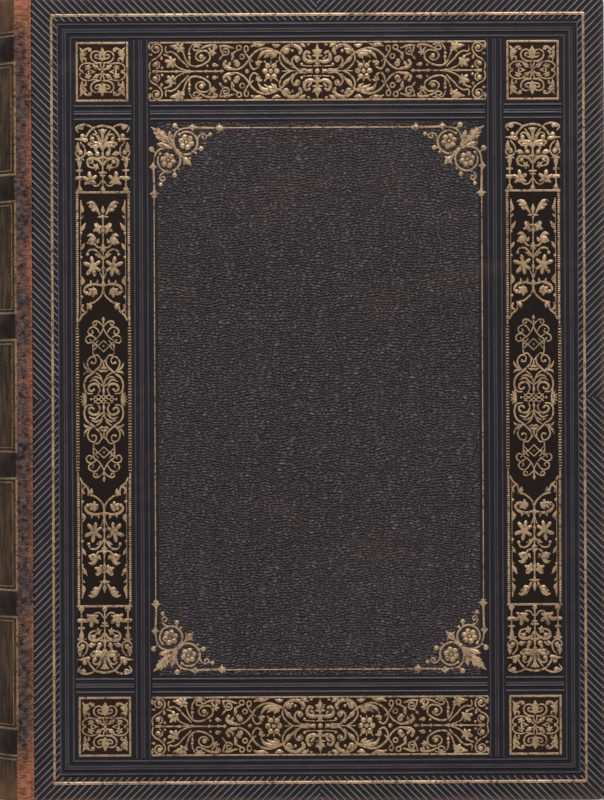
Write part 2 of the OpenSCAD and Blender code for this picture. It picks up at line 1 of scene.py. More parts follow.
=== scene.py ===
# %% [markdown]
# An antique book in dark, gold-tooled leather lies closed on its back cover.
# The frame gives every solid piece at its real size. This script gives them their looks:
# leather with pressed ribs and fillets, gold ornament, worn joints, leaves and endpapers.
# Lengths below are in millimetres, and `MM` turns them into Blender's metres.

import math

import bmesh
import bpy
import numpy as np
from mathutils import Matrix, Vector


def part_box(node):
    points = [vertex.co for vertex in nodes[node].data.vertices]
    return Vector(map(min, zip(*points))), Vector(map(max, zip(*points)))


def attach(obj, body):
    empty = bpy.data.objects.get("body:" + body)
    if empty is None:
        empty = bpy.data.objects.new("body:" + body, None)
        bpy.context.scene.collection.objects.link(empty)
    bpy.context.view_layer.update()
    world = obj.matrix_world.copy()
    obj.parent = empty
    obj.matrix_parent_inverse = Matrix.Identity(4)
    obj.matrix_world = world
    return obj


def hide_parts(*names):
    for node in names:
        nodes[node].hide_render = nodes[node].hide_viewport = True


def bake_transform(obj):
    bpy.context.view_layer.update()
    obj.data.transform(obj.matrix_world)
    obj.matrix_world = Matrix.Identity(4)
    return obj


MM = 0.001
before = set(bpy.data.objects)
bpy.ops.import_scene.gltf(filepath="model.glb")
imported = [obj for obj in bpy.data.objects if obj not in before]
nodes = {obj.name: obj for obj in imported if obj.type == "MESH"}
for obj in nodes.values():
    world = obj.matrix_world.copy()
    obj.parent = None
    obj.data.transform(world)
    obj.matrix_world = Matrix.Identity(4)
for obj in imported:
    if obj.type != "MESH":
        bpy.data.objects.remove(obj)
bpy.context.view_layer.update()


def node_box(name):
    """A CAD node's lowest and highest corner, in millimetres."""
    low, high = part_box(name)
    return low / MM, high / MM


cover_high = node_box("front_leather")[1]
line_low, line_high = node_box("gilt_border_line")
RELIEF = 0.4
middle = (line_low.x + line_high.x) / 2
fore_x = cover_high.x
cover_top = cover_high.z - RELIEF
half_w = fore_x - middle
half_h = cover_high.y
joint_x = middle - half_w
print("cover", round(2 * half_w, 1), "x", round(2 * half_h, 1), "mm, top at", round(cover_top, 1))

# %% [markdown]
# Leather, gold and paper are procedural materials: a few noise patterns in object space, mixed by
# nodes. Building node trees in Python is wordy, so small helpers add a node, set or link its
# inputs, and hand back an output. A socket knows its own tree, so most helpers need only sockets.

# %% Helpers for node trees


def feed(node, inputs):
    """Fills inputs of a node. A value that is a socket is linked, and any other is set."""
    for key, value in inputs.items():
        if isinstance(value, bpy.types.NodeSocket):
            node.id_data.links.new(value, node.inputs[key])
        else:
            node.inputs[key].default_value = value


def add(tree, kind, inputs=None, **settings):
    """Adds a node with its settings and its inputs."""
    made = tree.nodes.new(kind)
    for key, value in settings.items():
        setattr(made, key, value)
    feed(made, inputs or {})
    return made


def axes_of(place):
    return add(place.id_data, "ShaderNodeSeparateXYZ", {0: place}).outputs


def object_place(tree):
    """Where a point lies in its object, the same in every pose."""
    return add(tree, "ShaderNodeTexCoord").outputs["Object"]


def ramp(factor, start, end):
    """A slope of grey from one (factor, level) to another, level before and after."""
    made = add(factor.id_data, "ShaderNodeValToRGB", {0: factor})
    for element, (position, level) in zip(made.color_ramp.elements, (start, end)):
        element.position = position
        element.color = (level, level, level, 1)
    return made.outputs[0]


def new_material(name):
    """A material's object-space place and its Principled shader."""
    material = bpy.data.materials.new(name)
    material.use_nodes = True
    tree = material.node_tree
    return material, object_place(tree), tree.nodes["Principled BSDF"]


def put(name, data):
    """A new object in the scene."""
    made = bpy.data.objects.new(name, data)
    bpy.context.scene.collection.objects.link(made)
    return made


print("nodes of the frame:", len(nodes))

# %% [markdown]
# The camera looks straight down on the front cover, as a flat scan does. A long lens keeps the
# sides of the book out of sight. The book lay a little turned on the glass, so the camera is
# rolled by the same small angle, and the spine is cut off at the left as in the picture.

# %% Camera
SCAN_HEIGHT = 286.1
SCAN_OFFSET = Vector((-6.0, -0.55))
SCAN_TURN = math.radians(0.26)
LENS = 250
SENSOR = 36

camera_data = bpy.data.cameras.new("camera")
camera_data.lens = LENS
camera_data.sensor_width = SENSOR
camera_data.clip_end = 20
camera = put("camera", camera_data)
camera_height = cover_top + SCAN_HEIGHT * LENS / SENSOR
camera.location = Vector((middle + SCAN_OFFSET.x, SCAN_OFFSET.y, camera_height)) * MM
camera.rotation_euler = (0, 0, -SCAN_TURN)
bpy.context.scene.camera = camera
print("camera", round(camera_height), "mm above the table")

# %% [markdown]
# A wide soft lamp stands towards the head of the book and low enough to rake over the relief,
# which is what shows ribs and grain. A weaker one fills the shadows from the tail. The world is
# pale round the horizon and darker overhead, so flat leather seen from above stays deep and the
# slopes of the relief catch light.

# %% Light and floor
HORIZON, ZENITH = 0.62, 0.14
FLOOR_SIZE, FLOOR_Z = 3, -0.0005


def soft_lamp(name, place, size, watts):
    """An area lamp at a place in metres, turned to the book."""
    data = bpy.data.lights.new(name, "AREA")
    data.shape = "RECTANGLE"
    data.size = size
    data.size_y = size * 0.5
    data.energy = watts
    lamp = put(name, data)
    lamp.location = place
    lamp.rotation_euler = Vector(place).to_track_quat("Z", "Y").to_euler()


soft_lamp("head_lamp", (0.13, 1.5, 1.24), 1.43, 44)
soft_lamp("tail_lamp", (-0.5, -1.2, 1.3), 1.4, 7)

world = bpy.data.worlds.new("studio")
bpy.context.scene.world = world
world.use_nodes = True
upward = axes_of(add(world.node_tree, "ShaderNodeTexCoord").outputs["Generated"])["Z"]
feed(world.node_tree.nodes["Background"],
     {"Color": ramp(upward, (0.1, HORIZON), (0.9, ZENITH)), "Strength": 1.0})
bpy.context.scene.view_settings.view_transform = "Standard"

floor_mesh = bpy.data.meshes.new("floor")
floor_mesh.from_pydata([(x * FLOOR_SIZE, y * FLOOR_SIZE, FLOOR_Z)
                        for x, y in ((-1, -1), (1, -1), (1, 1), (-1, 1))], [], [(0, 1, 2, 3)])
floor_paint, _, matt = new_material("floor_paint")
feed(matt, {"Base Color": (0.55, 0.54, 0.525, 1), "Roughness": 0.9})
floor_mesh.materials.append(floor_paint)
floor = put("floor", floor_mesh)
print("lamps:", [light.name for light in bpy.data.lights if light.type == "AREA"])

# %% [markdown]
# Patterns need sums: how far a point is from an edge, or how strong two effects are together.
# Each sum is a Math node, so `plus(a, b)` and its kin add one and hand back its output.

# %% Sums and patterns
FLOAT = "NodeSocketFloat"
SOCKET_KINDS = {float: FLOAT, int: "NodeSocketInt", type(None): "NodeSocketMaterial"}


def arithmetic(operation):
    """A function that adds a Math node with this operation and gives its output."""
    def apply(a, b=0.0, clamp=False):
        tree = next(value for value in (a, b) if isinstance(value, bpy.types.NodeSocket)).id_data
        return add(tree, "ShaderNodeMath", {0: a, 1: b}, operation=operation, use_clamp=clamp).outputs[0]
    return apply


plus, minus, times, over = [arithmetic(name) for name in ("ADD", "SUBTRACT", "MULTIPLY", "DIVIDE")]
least, most, absolute = [arithmetic(name) for name in ("MINIMUM", "MAXIMUM", "ABSOLUTE")]


def vector(tree, x=0.0, y=0.0, z=0.0):
    return add(tree, "ShaderNodeCombineXYZ", {0: x, 1: y, 2: z}).outputs[0]


def vector_math(operation, a, b):
    second = "Scale" if operation == "SCALE" else 1
    return add(a.id_data, "ShaderNodeVectorMath", {0: a, second: b}, operation=operation).outputs[0]


def stretched(place, *scale):
    """A place for patterns that are drawn out along an axis where its scale is below 1."""
    return add(place.id_data, "ShaderNodeMapping", {"Vector": place, "Scale": scale}).outputs[0]


def noise(place, scale, detail, output=0, **more):
    """A noise pattern. `more` holds its other inputs, such as Roughness."""
    return add(place.id_data, "ShaderNodeTexNoise",
               {"Vector": place, "Scale": scale, "Detail": detail, **more}).outputs[output]


def new_tree(name, kind, outputs, **inputs):
    """An empty node group. The kind of an input follows from its value, and None is a material."""
    tree = bpy.data.node_groups.new(name, kind)
    for key, value in inputs.items():
        socket = tree.interface.new_socket(key, in_out="INPUT", socket_type=SOCKET_KINDS[type(value)])
        if value is not None:
            socket.default_value = value
    for key, socket_kind in outputs.items():
        tree.interface.new_socket(key, in_out="OUTPUT", socket_type=socket_kind)
    return tree, tree.nodes.new("NodeGroupInput").outputs, tree.nodes.new("NodeGroupOutput")


# %% [markdown]
# Morocco leather is boarded, folded and rolled until it creases. On this book the creases run
# across the cover as short wavy ridges about a millimetre apart. The group first shifts the
# place it looks at by a broad noise and a fine one, so that straight patterns swirl. The broad
# one changes slowly along y, which tilts the ridges and keeps their spacing. On that place a Wave
# pattern gives the ridges, and a Voronoi pattern drawn out sideways breaks them up.
# It hands back a height for Bump and a tone that is dark down in the creases, which is painted shade.

# %% Grain of the leather
RIDGES = 0.314
grain_group, given, result = new_tree(
    "leather_grain", "ShaderNodeTree", {"Height": FLOAT, "Tone": FLOAT},
    Size=0.85, Stretch=2.2, Swirl=1.0, Break=0.5)
place = object_place(grain_group)
per_metre = over(1000.0, given["Size"])
for share, reach, along in ((0.14, 3.2, 0.28), (0.4, 1.0, 0.9)):
    drift = noise(stretched(place, 1.0, along, 1.0), times(per_metre, share), 1.0, "Color")
    drift = vector_math("SUBTRACT", drift, (0.5, 0.5, 0.5))
    drift = vector_math("SCALE", drift, over(times(given["Swirl"], reach), per_metre))
    place = vector_math("ADD", place, drift)
flat = vector_math("MULTIPLY", place, vector(grain_group, over(1.0, given["Stretch"]), 1.0, 1.0))
waves = add(grain_group, "ShaderNodeTexWave", {
    "Vector": flat, "Scale": times(per_metre, RIDGES), "Distortion": 3.0, "Detail": 2.0,
    "Detail Scale": 2.4, "Detail Roughness": 0.6}, bands_direction="Y").outputs["Fac"]
cells = add(grain_group, "ShaderNodeTexVoronoi", {"Vector": flat, "Scale": per_metre},
            feature="DISTANCE_TO_EDGE").outputs["Distance"]
hills = ramp(cells, (0.0, 0.0), (0.35, 1.0))
height = add(grain_group, "ShaderNodeMix", {0: given["Break"], 2: waves, 3: hills}).outputs[0]
height = plus(height, times(noise(flat, per_metre, 4.0, Roughness=0.65), 0.3))
feed(result, {"Height": height, "Tone": ramp(height, (0.35, 0), (1.15, 1))})
print("grain group:", len(grain_group.nodes), "nodes")

# %% [markdown]
# Wear shows first where hands and shelves rub: along the edges of the cover, and most of all on
# its corners. The group measures how near a point is to the fore-edge, to head or tail, and to
# the corner between them, adds ragged patches, and gives a mask that is 1 where the dye has
# gone. A second output gives sparse scuffs anywhere.

# %% Wear
CORNER_SHARE = 0.36
PATCH_SIZE = 9.0
wear_group, given, result = new_tree(
    "edge_wear", "ShaderNodeTree", {"Edge": FLOAT, "Scuff": FLOAT}, Reach=4.0, Amount=0.5)
place = object_place(wear_group)
axes = axes_of(place)
to_fore = minus(fore_x * MM, axes[0])
to_end = minus(half_h * MM, absolute(axes[1]))
near = least(least(to_fore, to_end), times(plus(to_fore, to_end), CORNER_SHARE))
near = minus(1.0, over(near, times(given["Reach"], MM)), clamp=True)
patches = noise(place, 1000.0 / PATCH_SIZE, 6.0, Roughness=0.65)
edge = times(times(near, ramp(patches, (0.3, 0), (0.65, 1))), given["Amount"], clamp=True)
scuffs = noise(stretched(place, 0.45, 1.0, 1.0), 30.0, 8.0, Roughness=0.7, Distortion=0.6)
feed(result, {"Edge": edge, "Scuff": ramp(scuffs, (0.56, 0), (0.78, 1))})
print("wear group:", len(wear_group.nodes), "nodes")

# %% Colours and bumps


def mix(factor, first, second):
    """Mixes two colours, each a socket or a written colour."""
    return add(factor.id_data, "ShaderNodeMix", {0: factor, 6: first, 7: second},
               data_type="RGBA").outputs[2]


def colour(red, green, blue):
    """A colour as a picture writes it (0 to 255), as the linear light Blender works in."""
    levels = [c / 255 for c in (red, green, blue)]
    linear = [c / 12.92 if c <= 0.04045 else ((c + 0.055) / 1.055) ** 2.4 for c in levels]
    return (*linear, 1)


def emboss(shader, height, strength, depth):
    """Makes a material look raised by `depth` millimetres where `height` is 1."""
    raised = add(shader.id_data, "ShaderNodeBump",
                 {"Strength": strength, "Distance": depth * MM, "Height": height})
    feed(shader, {"Normal": raised.outputs[0]})


print("colour 128 is", round(colour(128, 128, 128)[0], 3), "in linear light")

# %% [markdown]
# All the leathers of the book are one hide in different states, so one function makes them. The
# centre of the cover keeps its grain, the tooled parts were pressed smooth, the grounds under
# the gold were blocked nearly black, and the spine has gone brown in the light. The grain's
# creases are painted dark, as painted shade. What stands proud of the cover is rubbed first and
# takes a painted highlight too, so `crest` is the lighter tone that the material takes on by height.

# %% Leather
CREST_START, CREST_RISE = 0.22, 0.16
BARE_HIDE = colour(128, 96, 80)


def leather(name, base, light, worn=BARE_HIDE, grain_and_crease_shade=0.4, size=0.5, stretch=1.6, swirl=1.0,
            roughness=0.5, reach=4.0, amount=0.5, scuff=0.15, bump=0.03, broken=0.5, shine=0.3,
            cloudy=0.2, crest=None):
    """Leather from a dark and a light tone, with the colour of the bare hide where it is worn."""
    material, place, shader = new_material(name)
    made, wear = [add(material.node_tree, "ShaderNodeGroup", inputs, node_tree=group).outputs
                  for group, inputs in (
                      (grain_group, {"Size": size, "Stretch": stretch, "Swirl": swirl, "Break": broken}),
                      (wear_group, {"Reach": reach, "Amount": amount}))]
    # The grain's tone is partly the hide's own and partly painted shade, dark down in the creases.
    tone = mix(times(made["Tone"], grain_and_crease_shade), base, light)
    cloud = noise(place, 18.0, 5.0, Roughness=0.6)
    tone = mix(ramp(cloud, (0.4, 0.0), (0.7, cloudy)), tone, light)
    # Partly rubbed wear and partly painted highlight: what stands proud takes the lighter crest tone.
    if crest:
        above = minus(axes_of(place)["Z"], (cover_top + CREST_START) * MM)
        above = over(above, CREST_RISE * MM, clamp=True)
        rubbed = noise(place, 160.0, 4.0)
        tone = mix(times(above, ramp(rubbed, (0.3, 0.55), (0.6, 1.0))), tone, crest)
    tone = mix(times(wear["Scuff"], scuff), tone, worn)
    feed(shader, {"Base Color": mix(wear["Edge"], tone, worn), "Specular IOR Level": shine,
                  "Roughness": plus(times(made["Tone"], -0.12), roughness + 0.06)})
    emboss(shader, made["Height"], 0.9, bump)
    return material


field_leather = leather("field_leather", colour(8, 6, 8), colour(76, 65, 69), grain_and_crease_shade=1.0, size=1.0,
                        stretch=1.8, swirl=1.3, roughness=0.46, bump=0.7, broken=0.58, shine=0.25,
                        scuff=0.1, cloudy=0.12)
# The crest tones below are partly rubbed wear and partly painted highlight on fillets and ribs.
tooled_leather = leather("tooled_leather", colour(22, 20, 23), colour(41, 38, 42), roughness=0.38,
                         crest=colour(66, 62, 67))
ribbed_leather = leather("ribbed_leather", colour(25, 21, 23), colour(48, 42, 44), roughness=0.4,
                         reach=2.5, amount=0.3, crest=colour(110, 104, 107))
column_ground, panel_ground = [
    leather(name, base, light, stretch=1.2, amount=0, scuff=0.03, shine=0.08) for name, base, light in (
        ("column_ground_leather", colour(25, 20, 18), colour(42, 33, 29)),
        ("panel_ground_leather", colour(34, 23, 17), colour(54, 38, 30)))]
print("leathers:", [m.name for m in bpy.data.materials if "leather" in m.name])

# %% [markdown]
# At the joint the leather bends each time the cover opens. Its dark face has cracked into small
# flakes, and the bare orange-brown hide shows between them. Towards head and tail, and in a
# line along the board, nearly all the flakes are gone.

# %% Leather of the joints
END_LENGTH, END_RAGGED, TAIL_SHIFT, BOARD_LINE = 24, 26, 6, 4.0
joint_hide, place, shader = new_material("joint_hide")
axes = axes_of(place)
wide = noise(place, 55.0, 3.0)
flakes = noise(stretched(place, 0.4, 1.0, 1.0), 1500.0, 3.0, Roughness=0.6)
cracks = add(joint_hide.node_tree, "ShaderNodeTexVoronoi", {"Vector": place, "Scale": 1300.0},
             feature="DISTANCE_TO_EDGE").outputs["Distance"]
to_end = least(minus(half_h * MM, axes["Y"]), plus((half_h - TAIL_SHIFT) * MM, axes["Y"]))
ragged = times(minus(wide, 0.5), END_RAGGED * MM)
bare_end = ramp(over(plus(to_end, ragged), END_LENGTH * MM, clamp=True), (0.15, 0.9), (0.65, 0.0))
along_board = over(minus(joint_x * MM, axes["X"]), BOARD_LINE * MM, clamp=True)
along_board = times(ramp(along_board, (0.15, 0.8), (0.6, 0.0)), ramp(wide, (0.3, 0.3), (0.62, 1.0)))
bare = plus(plus(bare_end, along_board), ramp(wide, (0.35, 0.0), (0.7, 0.45)))
kept = ramp(minus(plus(flakes, times(cracks, 0.35)), times(bare, 0.3)), (0.36, 0.0), (0.5, 1.0))
dusty = ramp(noise(place, 620.0, 3.0), (0.35, 0), (0.65, 1))
threads = ramp(noise(stretched(place, 0.2, 1.0, 1.0), 1400.0, 2.0), (0.46, 0.0), (0.6, 0.8))
hide_tone = mix(dusty, colour(72, 45, 37), colour(130, 85, 63))
hide_tone = mix(times(bare, 0.75, clamp=True), hide_tone, colour(154, 98, 70))
hide_tone = mix(threads, hide_tone, colour(84, 54, 42))
flake_tone = mix(dusty, colour(28, 22, 23), colour(82, 70, 70))
feed(shader, {"Base Color": mix(kept, hide_tone, flake_tone), "Roughness": 0.68,
              "Specular IOR Level": 0.12})
emboss(shader, kept, 0.8, 0.12)
print("joint leather:", len(joint_hide.node_tree.nodes), "nodes")

# %% [markdown]
# Gold leaf is real metal, laid very thin. It is rubbed through to the dark leather in specks, so
# its colour and its Metallic share one wear mask, and a broad cloud makes it brighter and
# smoother in some places than in others.

# %% Gold leaf


def gold_leaf(name, bright, dull, rubbed, loss, metal):
    material, place, shader = new_material(name)
    cloud = noise(place, 90.0, 5.0)
    specks = noise(place, 900.0, 3.0, Roughness=0.7)
    kept = ramp(specks, (loss, 0), (loss + 0.12, 1))
    tone = mix(ramp(cloud, (0.35, 0), (0.65, 1)), dull, bright)
    feed(shader, {"Base Color": mix(kept, rubbed, tone), "Metallic": times(kept, metal),
                  "Roughness": ramp(cloud, (0.3, 0.58), (0.7, 0.44))})
    emboss(shader, specks, 0.4, 0.04)
    return material


gold = gold_leaf("gold", colour(190, 160, 124), colour(154, 125, 94), colour(66, 46, 34), 0.37, 0.5)
old_gold = gold_leaf("old_gold", colour(150, 120, 82), colour(114, 88, 60), colour(56, 42, 32), 0.4, 0.25)
print("gold is", tuple(round(c, 2) for c in colour(190, 160, 124)[:3]), "in linear light")

# %% [markdown]
# The tooling is drawn as a draughtsman would: strokes that swell and taper along smooth curves,
# from points in millimetres. Each stroke becomes a low domed ribbon, and a bead is a stroke of one
# point. A leaf is a domed shape inside an edge of round lobes. The shapes are skins of quads
# stretched over rows of points, and so are the ridges, joints and spine further down.

# %% Smooth curves
STEP = 0.4
THINNEST = 0.12


def smooth(points, widths):
    """A curve through the points, with its widths, sampled about every STEP millimetres."""
    p = np.array(points, float)
    w = np.interp(np.linspace(0, 1, len(p)), np.linspace(0, 1, len(widths)), widths)
    row = np.column_stack([p, w])
    row = np.vstack([2 * row[0] - row[1], row, 2 * row[-1] - row[-2]])
    line = []
    for a, b, c, d in zip(row, row[1:], row[2:], row[3:]):
        count = max(2, int(np.ceil(np.linalg.norm((c - b)[:2]) / STEP)))
        for t in np.arange(count) / count:
            line.append(0.5 * (2 * b + (c - a) * t + (2 * a - 5 * b + 4 * c - d) * t**2
                               + (3 * b - a - 3 * c + d) * t**3))
    line = np.array(line + [row[-2]])
    line[:, 2] = np.maximum(line[:, 2], THINNEST)
    return line


print("a curve of 10 mm has", len(smooth([(0, 0), (5, 1), (10, 0)], [1])), "points")

# %% Drawing strokes, beads and leaves
DOME = ((-0.5, 0.0), (-0.38, 0.72), (0.0, 1.0), (0.38, 0.72), (0.5, 0.0))
CAP = ((0.22, 0.9), (0.42, 0.56), (0.5, 0.1))


def skin(first, rows, n):
    """Quads between closed rows of n points each, numbered from `first`."""
    return [(a + j, a + (j + 1) % n, a + n + (j + 1) % n, a + n + j)
            for a in range(first, first + (rows - 1) * n, n) for j in range(n)]


class Drawing:
    """Collects domed strokes, each given as (points, widths), into one mesh."""

    def __init__(self, height=0.3, depth=0.06, bold=1.18):
        self.height, self.depth, self.bold = height, depth, bold
        self.points, self.faces = [], []

    def stroke(self, points, widths):
        """A ribbon with a rounded cap at each end."""
        widths = [self.bold * width for width in widths]
        if len(points) == 1:
            return self.bead(points[0], widths[0] / 2)
        line = smooth(points, widths)
        along = np.gradient(line[:, :2], axis=0)
        along /= np.maximum(np.linalg.norm(along, axis=1), 1e-9)[:, None]
        for end, sign in ((0, -1), (-1, 1)):
            tip = line[end].copy()
            extra = np.array([[*(tip[:2] + sign * along[end] * tip[2] * reach), tip[2] * share]
                              for reach, share in CAP])
            dirs = np.repeat(along[end][None], len(extra), axis=0)
            if end == 0:
                line, along = np.vstack([extra[::-1], line]), np.vstack([dirs, along])
            else:
                line, along = np.vstack([line, extra]), np.vstack([along, dirs])
        side = np.column_stack([-along[:, 1], along[:, 0]])
        first, n = len(self.points), len(DOME)
        for (x, y, w), (sx, sy) in zip(line, side):
            top = self.height * min(1.0, 0.45 + w / 1.6)
            self.points += [(x - sx * w * across, y - sy * w * across, -self.depth if up == 0 else top * up)
                            for across, up in DOME]
        last = len(self.points) - n
        self.faces += skin(first, len(line), n)
        self.faces += [tuple(reversed(range(first, first + n))), tuple(range(last, last + n))]

    def mound(self, rows, top):
        """Closed rows of points from the foot of a shape up to the point on its top."""
        first, n = len(self.points), len(rows[0])
        self.points += [point for row in rows for point in row] + [top]
        self.faces += skin(first, len(rows), n)
        last = first + (len(rows) - 1) * n
        self.faces += [(last + k, last + (k + 1) % n, last + n) for k in range(n)]
        self.faces.append(tuple(reversed(range(first, first + n))))

    def bead(self, centre, radius, sides=12):
        top = self.height * min(1.6, 0.7 + radius / 1.6)
        turns = [2 * math.pi * k / sides for k in range(sides)]
        self.mound([[(centre[0] + radius * reach * math.cos(a), centre[1] + radius * reach * math.sin(a), z)
                     for a in turns]
                    for reach, z in ((1.0, -self.depth), (0.94, 0.35 * top), (0.66, 0.8 * top))],
                   (*centre, top))

    def leaf(self, outline):
        """A low domed shape from its middle (the first point) and the points of its edge."""
        (cx, cy), edge = outline[0], outline[1:]
        if sum(a[0] * b[1] - b[0] * a[1] for a, b in zip(edge, edge[1:] + edge[:1])) < 0:
            edge = edge[::-1]
        self.mound([[(cx + reach * (x - cx), cy + reach * (y - cy), z) for x, y in edge]
                    for reach, z in ((1.0, -self.depth), (0.9, 0.7 * self.height), (0.62, 1.15 * self.height))],
                   (cx, cy, 0.8 * self.height))

    def motif(self, strokes, centre=(0, 0), flips=((1, 1),), swap=False):
        """Draws a motif round a centre, once for each mirror image in `flips`.

        What lies on a mirror axis is its own image, so it is drawn once."""
        for flip in flips:
            for points, widths in strokes:
                on_axis = [all(abs(p[k]) < 0.005 for p in points[:1 if widths is None else None])
                           and flip[k] < 0 for k in (0, 1)]
                if len(flips) > 1 and any(on_axis):
                    continue
                u, v = (1, 0) if swap else (0, 1)
                placed = [(centre[0] + flip[0] * p[u], centre[1] + flip[1] * p[v]) for p in points]
                if widths is None:
                    self.leaf(placed)
                else:
                    self.stroke(placed, widths if isinstance(widths, list) else [widths])


sample = Drawing()
sample.bead((0, 0), 1)
print("a bead has", len(sample.faces), "faces")

# %% From a drawing to a piece on the cover


def build(name, points, faces, materials, smooth_angle=None):
    """A mesh object from millimetre points, with its origin at the world's."""
    mesh = bpy.data.meshes.new(name)
    mesh.from_pydata([(x * MM, y * MM, z * MM) for x, y, z in points], [], faces)
    for material in materials:
        mesh.materials.append(material)
    mesh.shade_smooth()
    if smooth_angle is not None:
        mesh.set_sharp_from_angle(angle=math.radians(smooth_angle))
    return put(name, mesh)


def on_cover(drawing, name, level, node):
    """Lays a gold drawing on the front cover at a level, in place of a CAD node."""
    points = [(x + middle, y, z + level) for x, y, z in drawing.points]
    piece = build(name, points, drawing.faces, [gold], 50)
    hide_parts(node)
    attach(piece, "front_cover")
    print(name, len(piece.data.polygons), "faces")


# %% Leaves, flowers and loops
FOUR = ((1, 1), (-1, 1), (1, -1), (-1, -1))
VINE = ((0, 1.0), (58, 0.92), (-58, 0.92), (118, 0.74), (-118, 0.74))
CLOVER = ((0, 1.0), (84, 0.9), (-84, 0.9), (178, 0.95))
BUD = ((0, 1.0), (50, 0.6), (-50, 0.6))
LEAF_SCALE = 1.19


def leaf(x, y, size, angle, lobes=VINE, body=0.46, lobe_width=38, sides=48):
    """A leaf of round lobes, each given by its angle from the tip and its share of the size."""
    outline = [(x, y)]
    size *= LEAF_SCALE
    for k in range(sides):
        here = 360 * k / sides
        reach = body
        for at, length in lobes:
            off = abs((here - at + 180) % 360 - 180)
            if off < lobe_width:
                reach = max(reach, length * math.cos(math.pi / 2 * off / lobe_width) ** 0.8)
        turn = math.radians(here + angle)
        outline.append((x + size * reach * math.cos(turn), y + size * reach * math.sin(turn)))
    return (outline, None)


def flower(x, y, size, petals, turn=0):
    """A flower: round petals that touch each other, and a bead in the middle."""
    half = math.sin(math.pi / petals)
    reach, wide = size / (1 + half), 2 * size * half / (1 + half)
    turns = [math.radians(turn + 360 * k / petals) for k in range(petals)]
    around = [([(x + reach * math.cos(a), y + reach * math.sin(a))], wide) for a in turns]
    return around + [([(x, y)], 1.6 * reach - wide)]


def ring(x, y, wide, high):
    """A small closed loop."""
    points = [(x + wide * math.cos(a), y + high * math.sin(a))
              for a in (math.pi * k / 5 for k in range(11))]
    return (points, [0.5])


print("a vine leaf has", len(leaf(0, 0, 1, 0)[0]) - 1, "points on its edge")

# %% [markdown]
# The design is laid out from the middle of the cover outwards, from the same widths that the
# solids have: a gilt line near the edge, three fillets, a band of gilt panels, three more
# fillets, and a thin line round the centre field.

# %% Layout of the cover design
line_x, line_y = half_w - 7.4, half_h - 6.7
fillet_x, fillet_y = line_x - 2.2, line_y - 3.2
FILLET_PITCH = 2.35
FILLET_WIDTHS = (0.9, 1.6, 0.9)
group_w = 2 * FILLET_PITCH
panel_x1, panel_y1 = fillet_x - group_w - 2.0, fillet_y - group_w - 2.0
panel_x0, panel_y0 = panel_x1 - 18.6, panel_y1 - 20.6
inner_x, inner_y = panel_x0 - 2.0, panel_y0 - 2.0
centre_x, centre_y = inner_x - group_w - 2.3, inner_y - group_w - 3.2
panel_half = inner_x - group_w - 1.0
column_x, end_y = (panel_x0 + panel_x1) / 2, (panel_y0 + panel_y1) / 2
print("panels", round(panel_x1 - panel_x0, 1), "mm wide; centre field",
      round(2 * centre_x, 1), "x", round(2 * centre_y, 1), "mm")

# %% [markdown]
# In each corner square, four quarters mirror each other round a bead: C-scrolls with a half
# spade leaf above and below, ivy leaves at the sides, and a half palmette in each corner.

# %% Corner squares
SQUARE = [
    ([(0, 0)], 0.9),
    ([(0.1, 0.9), (0.5, 2.0), (0.77, 3.2)], [0.3, 0.5, 0.4]),
    ([(0.4, 3.2), (2.1, 3.3), (3.6, 4.2), (4.1, 5.7), (3.5, 6.9), (2.2, 7.4), (1.2, 7.0)],
     [0.5, 0.6, 0.6, 0.6, 0.55, 0.5, 0.5]),
    ([(0.3, 4.6), (1.5, 4.7), (2.4, 5.1), (2.6, 5.8), (2.1, 6.2), (1.7, 5.9)], [0.6, 0.55, 0.45]),
    ([(0.1, 4.3), (0.55, 5.4), (0.65, 6.3), (0.3, 7.5), (0.02, 8.7)], [0.7, 1.1, 1.35, 0.9, 0.15]),
    ([(1.4, 3.0), (3.0, 2.75), (4.6, 3.1), (6.2, 3.05), (7.5, 2.4), (8.1, 1.4), (7.8, 0.45),
      (6.9, 0.25)], [0.2, 0.4, 0.5, 0.55, 0.5, 0.5, 0.5]),
    leaf(5.2, 1.75, 1.35, 250), leaf(2.0, 1.5, 1.5, 30, BUD),
    ([(0.6, 0.7), (1.4, 1.1)], 0.6),
    ([(2.6, 0.0), (3.6, 0.3), (4.5, 0.85)], [0.3, 0.5, 0.2]),
    ([(4.9, 0)], 0.75),
    ([(7.2, 3.3), (7.4, 4.6), (7.2, 6.2), (7.3, 7.4), (8.1, 8.8)], [0.3, 0.9, 1.6, 1.2, 0.15]),
    ([(7.2, 6.6), (6.2, 7.8), (5.0, 8.4), (4.0, 8.1), (4.3, 7.4)], [1.2, 0.9, 0.6, 0.5, 0.55]),
    leaf(6.7, 6.2, 1.3, 150, BUD), leaf(4.7, 7.7, 0.9, 200, BUD),
    ([(7.2, 4.4), (6.3, 4.9), (5.7, 4.5), (5.9, 4.0)], [0.8, 0.6, 0.55, 0.6]),
]


def frame_lines(drawing, x, y, half_wide, half_high, wide_line, high_line):
    """The four lines of a rectangle: first the upright pair, each with its width."""
    for sign in (-1, 1):
        drawing.stroke([(x + sign * half_wide, y - half_high), (x + sign * half_wide, y + half_high)],
                       [high_line])
        drawing.stroke([(x - half_wide, y + sign * half_high), (x + half_wide, y + sign * half_high)],
                       [wide_line])


squares = Drawing()
for side in (-1, 1):
    for end in (-1, 1):
        squares.motif(SQUARE, (side * column_x, end * end_y), FOUR)
        frame_lines(squares, side * (column_x + 0.1), end * end_y, 9.0, 10.3, 0.75, 0.75)
on_cover(squares, "corner_square_tooling", cover_top, "gilt_corner_squares")

# %% [markdown]
# The head and tail panels carry one arabesque that mirrors round a central palmette, and again
# above and below its axis. Only a quarter of it is drawn: spirals with vine leaves at the end,
# then a knot, and a great arc round a flower that ends under the palmette.

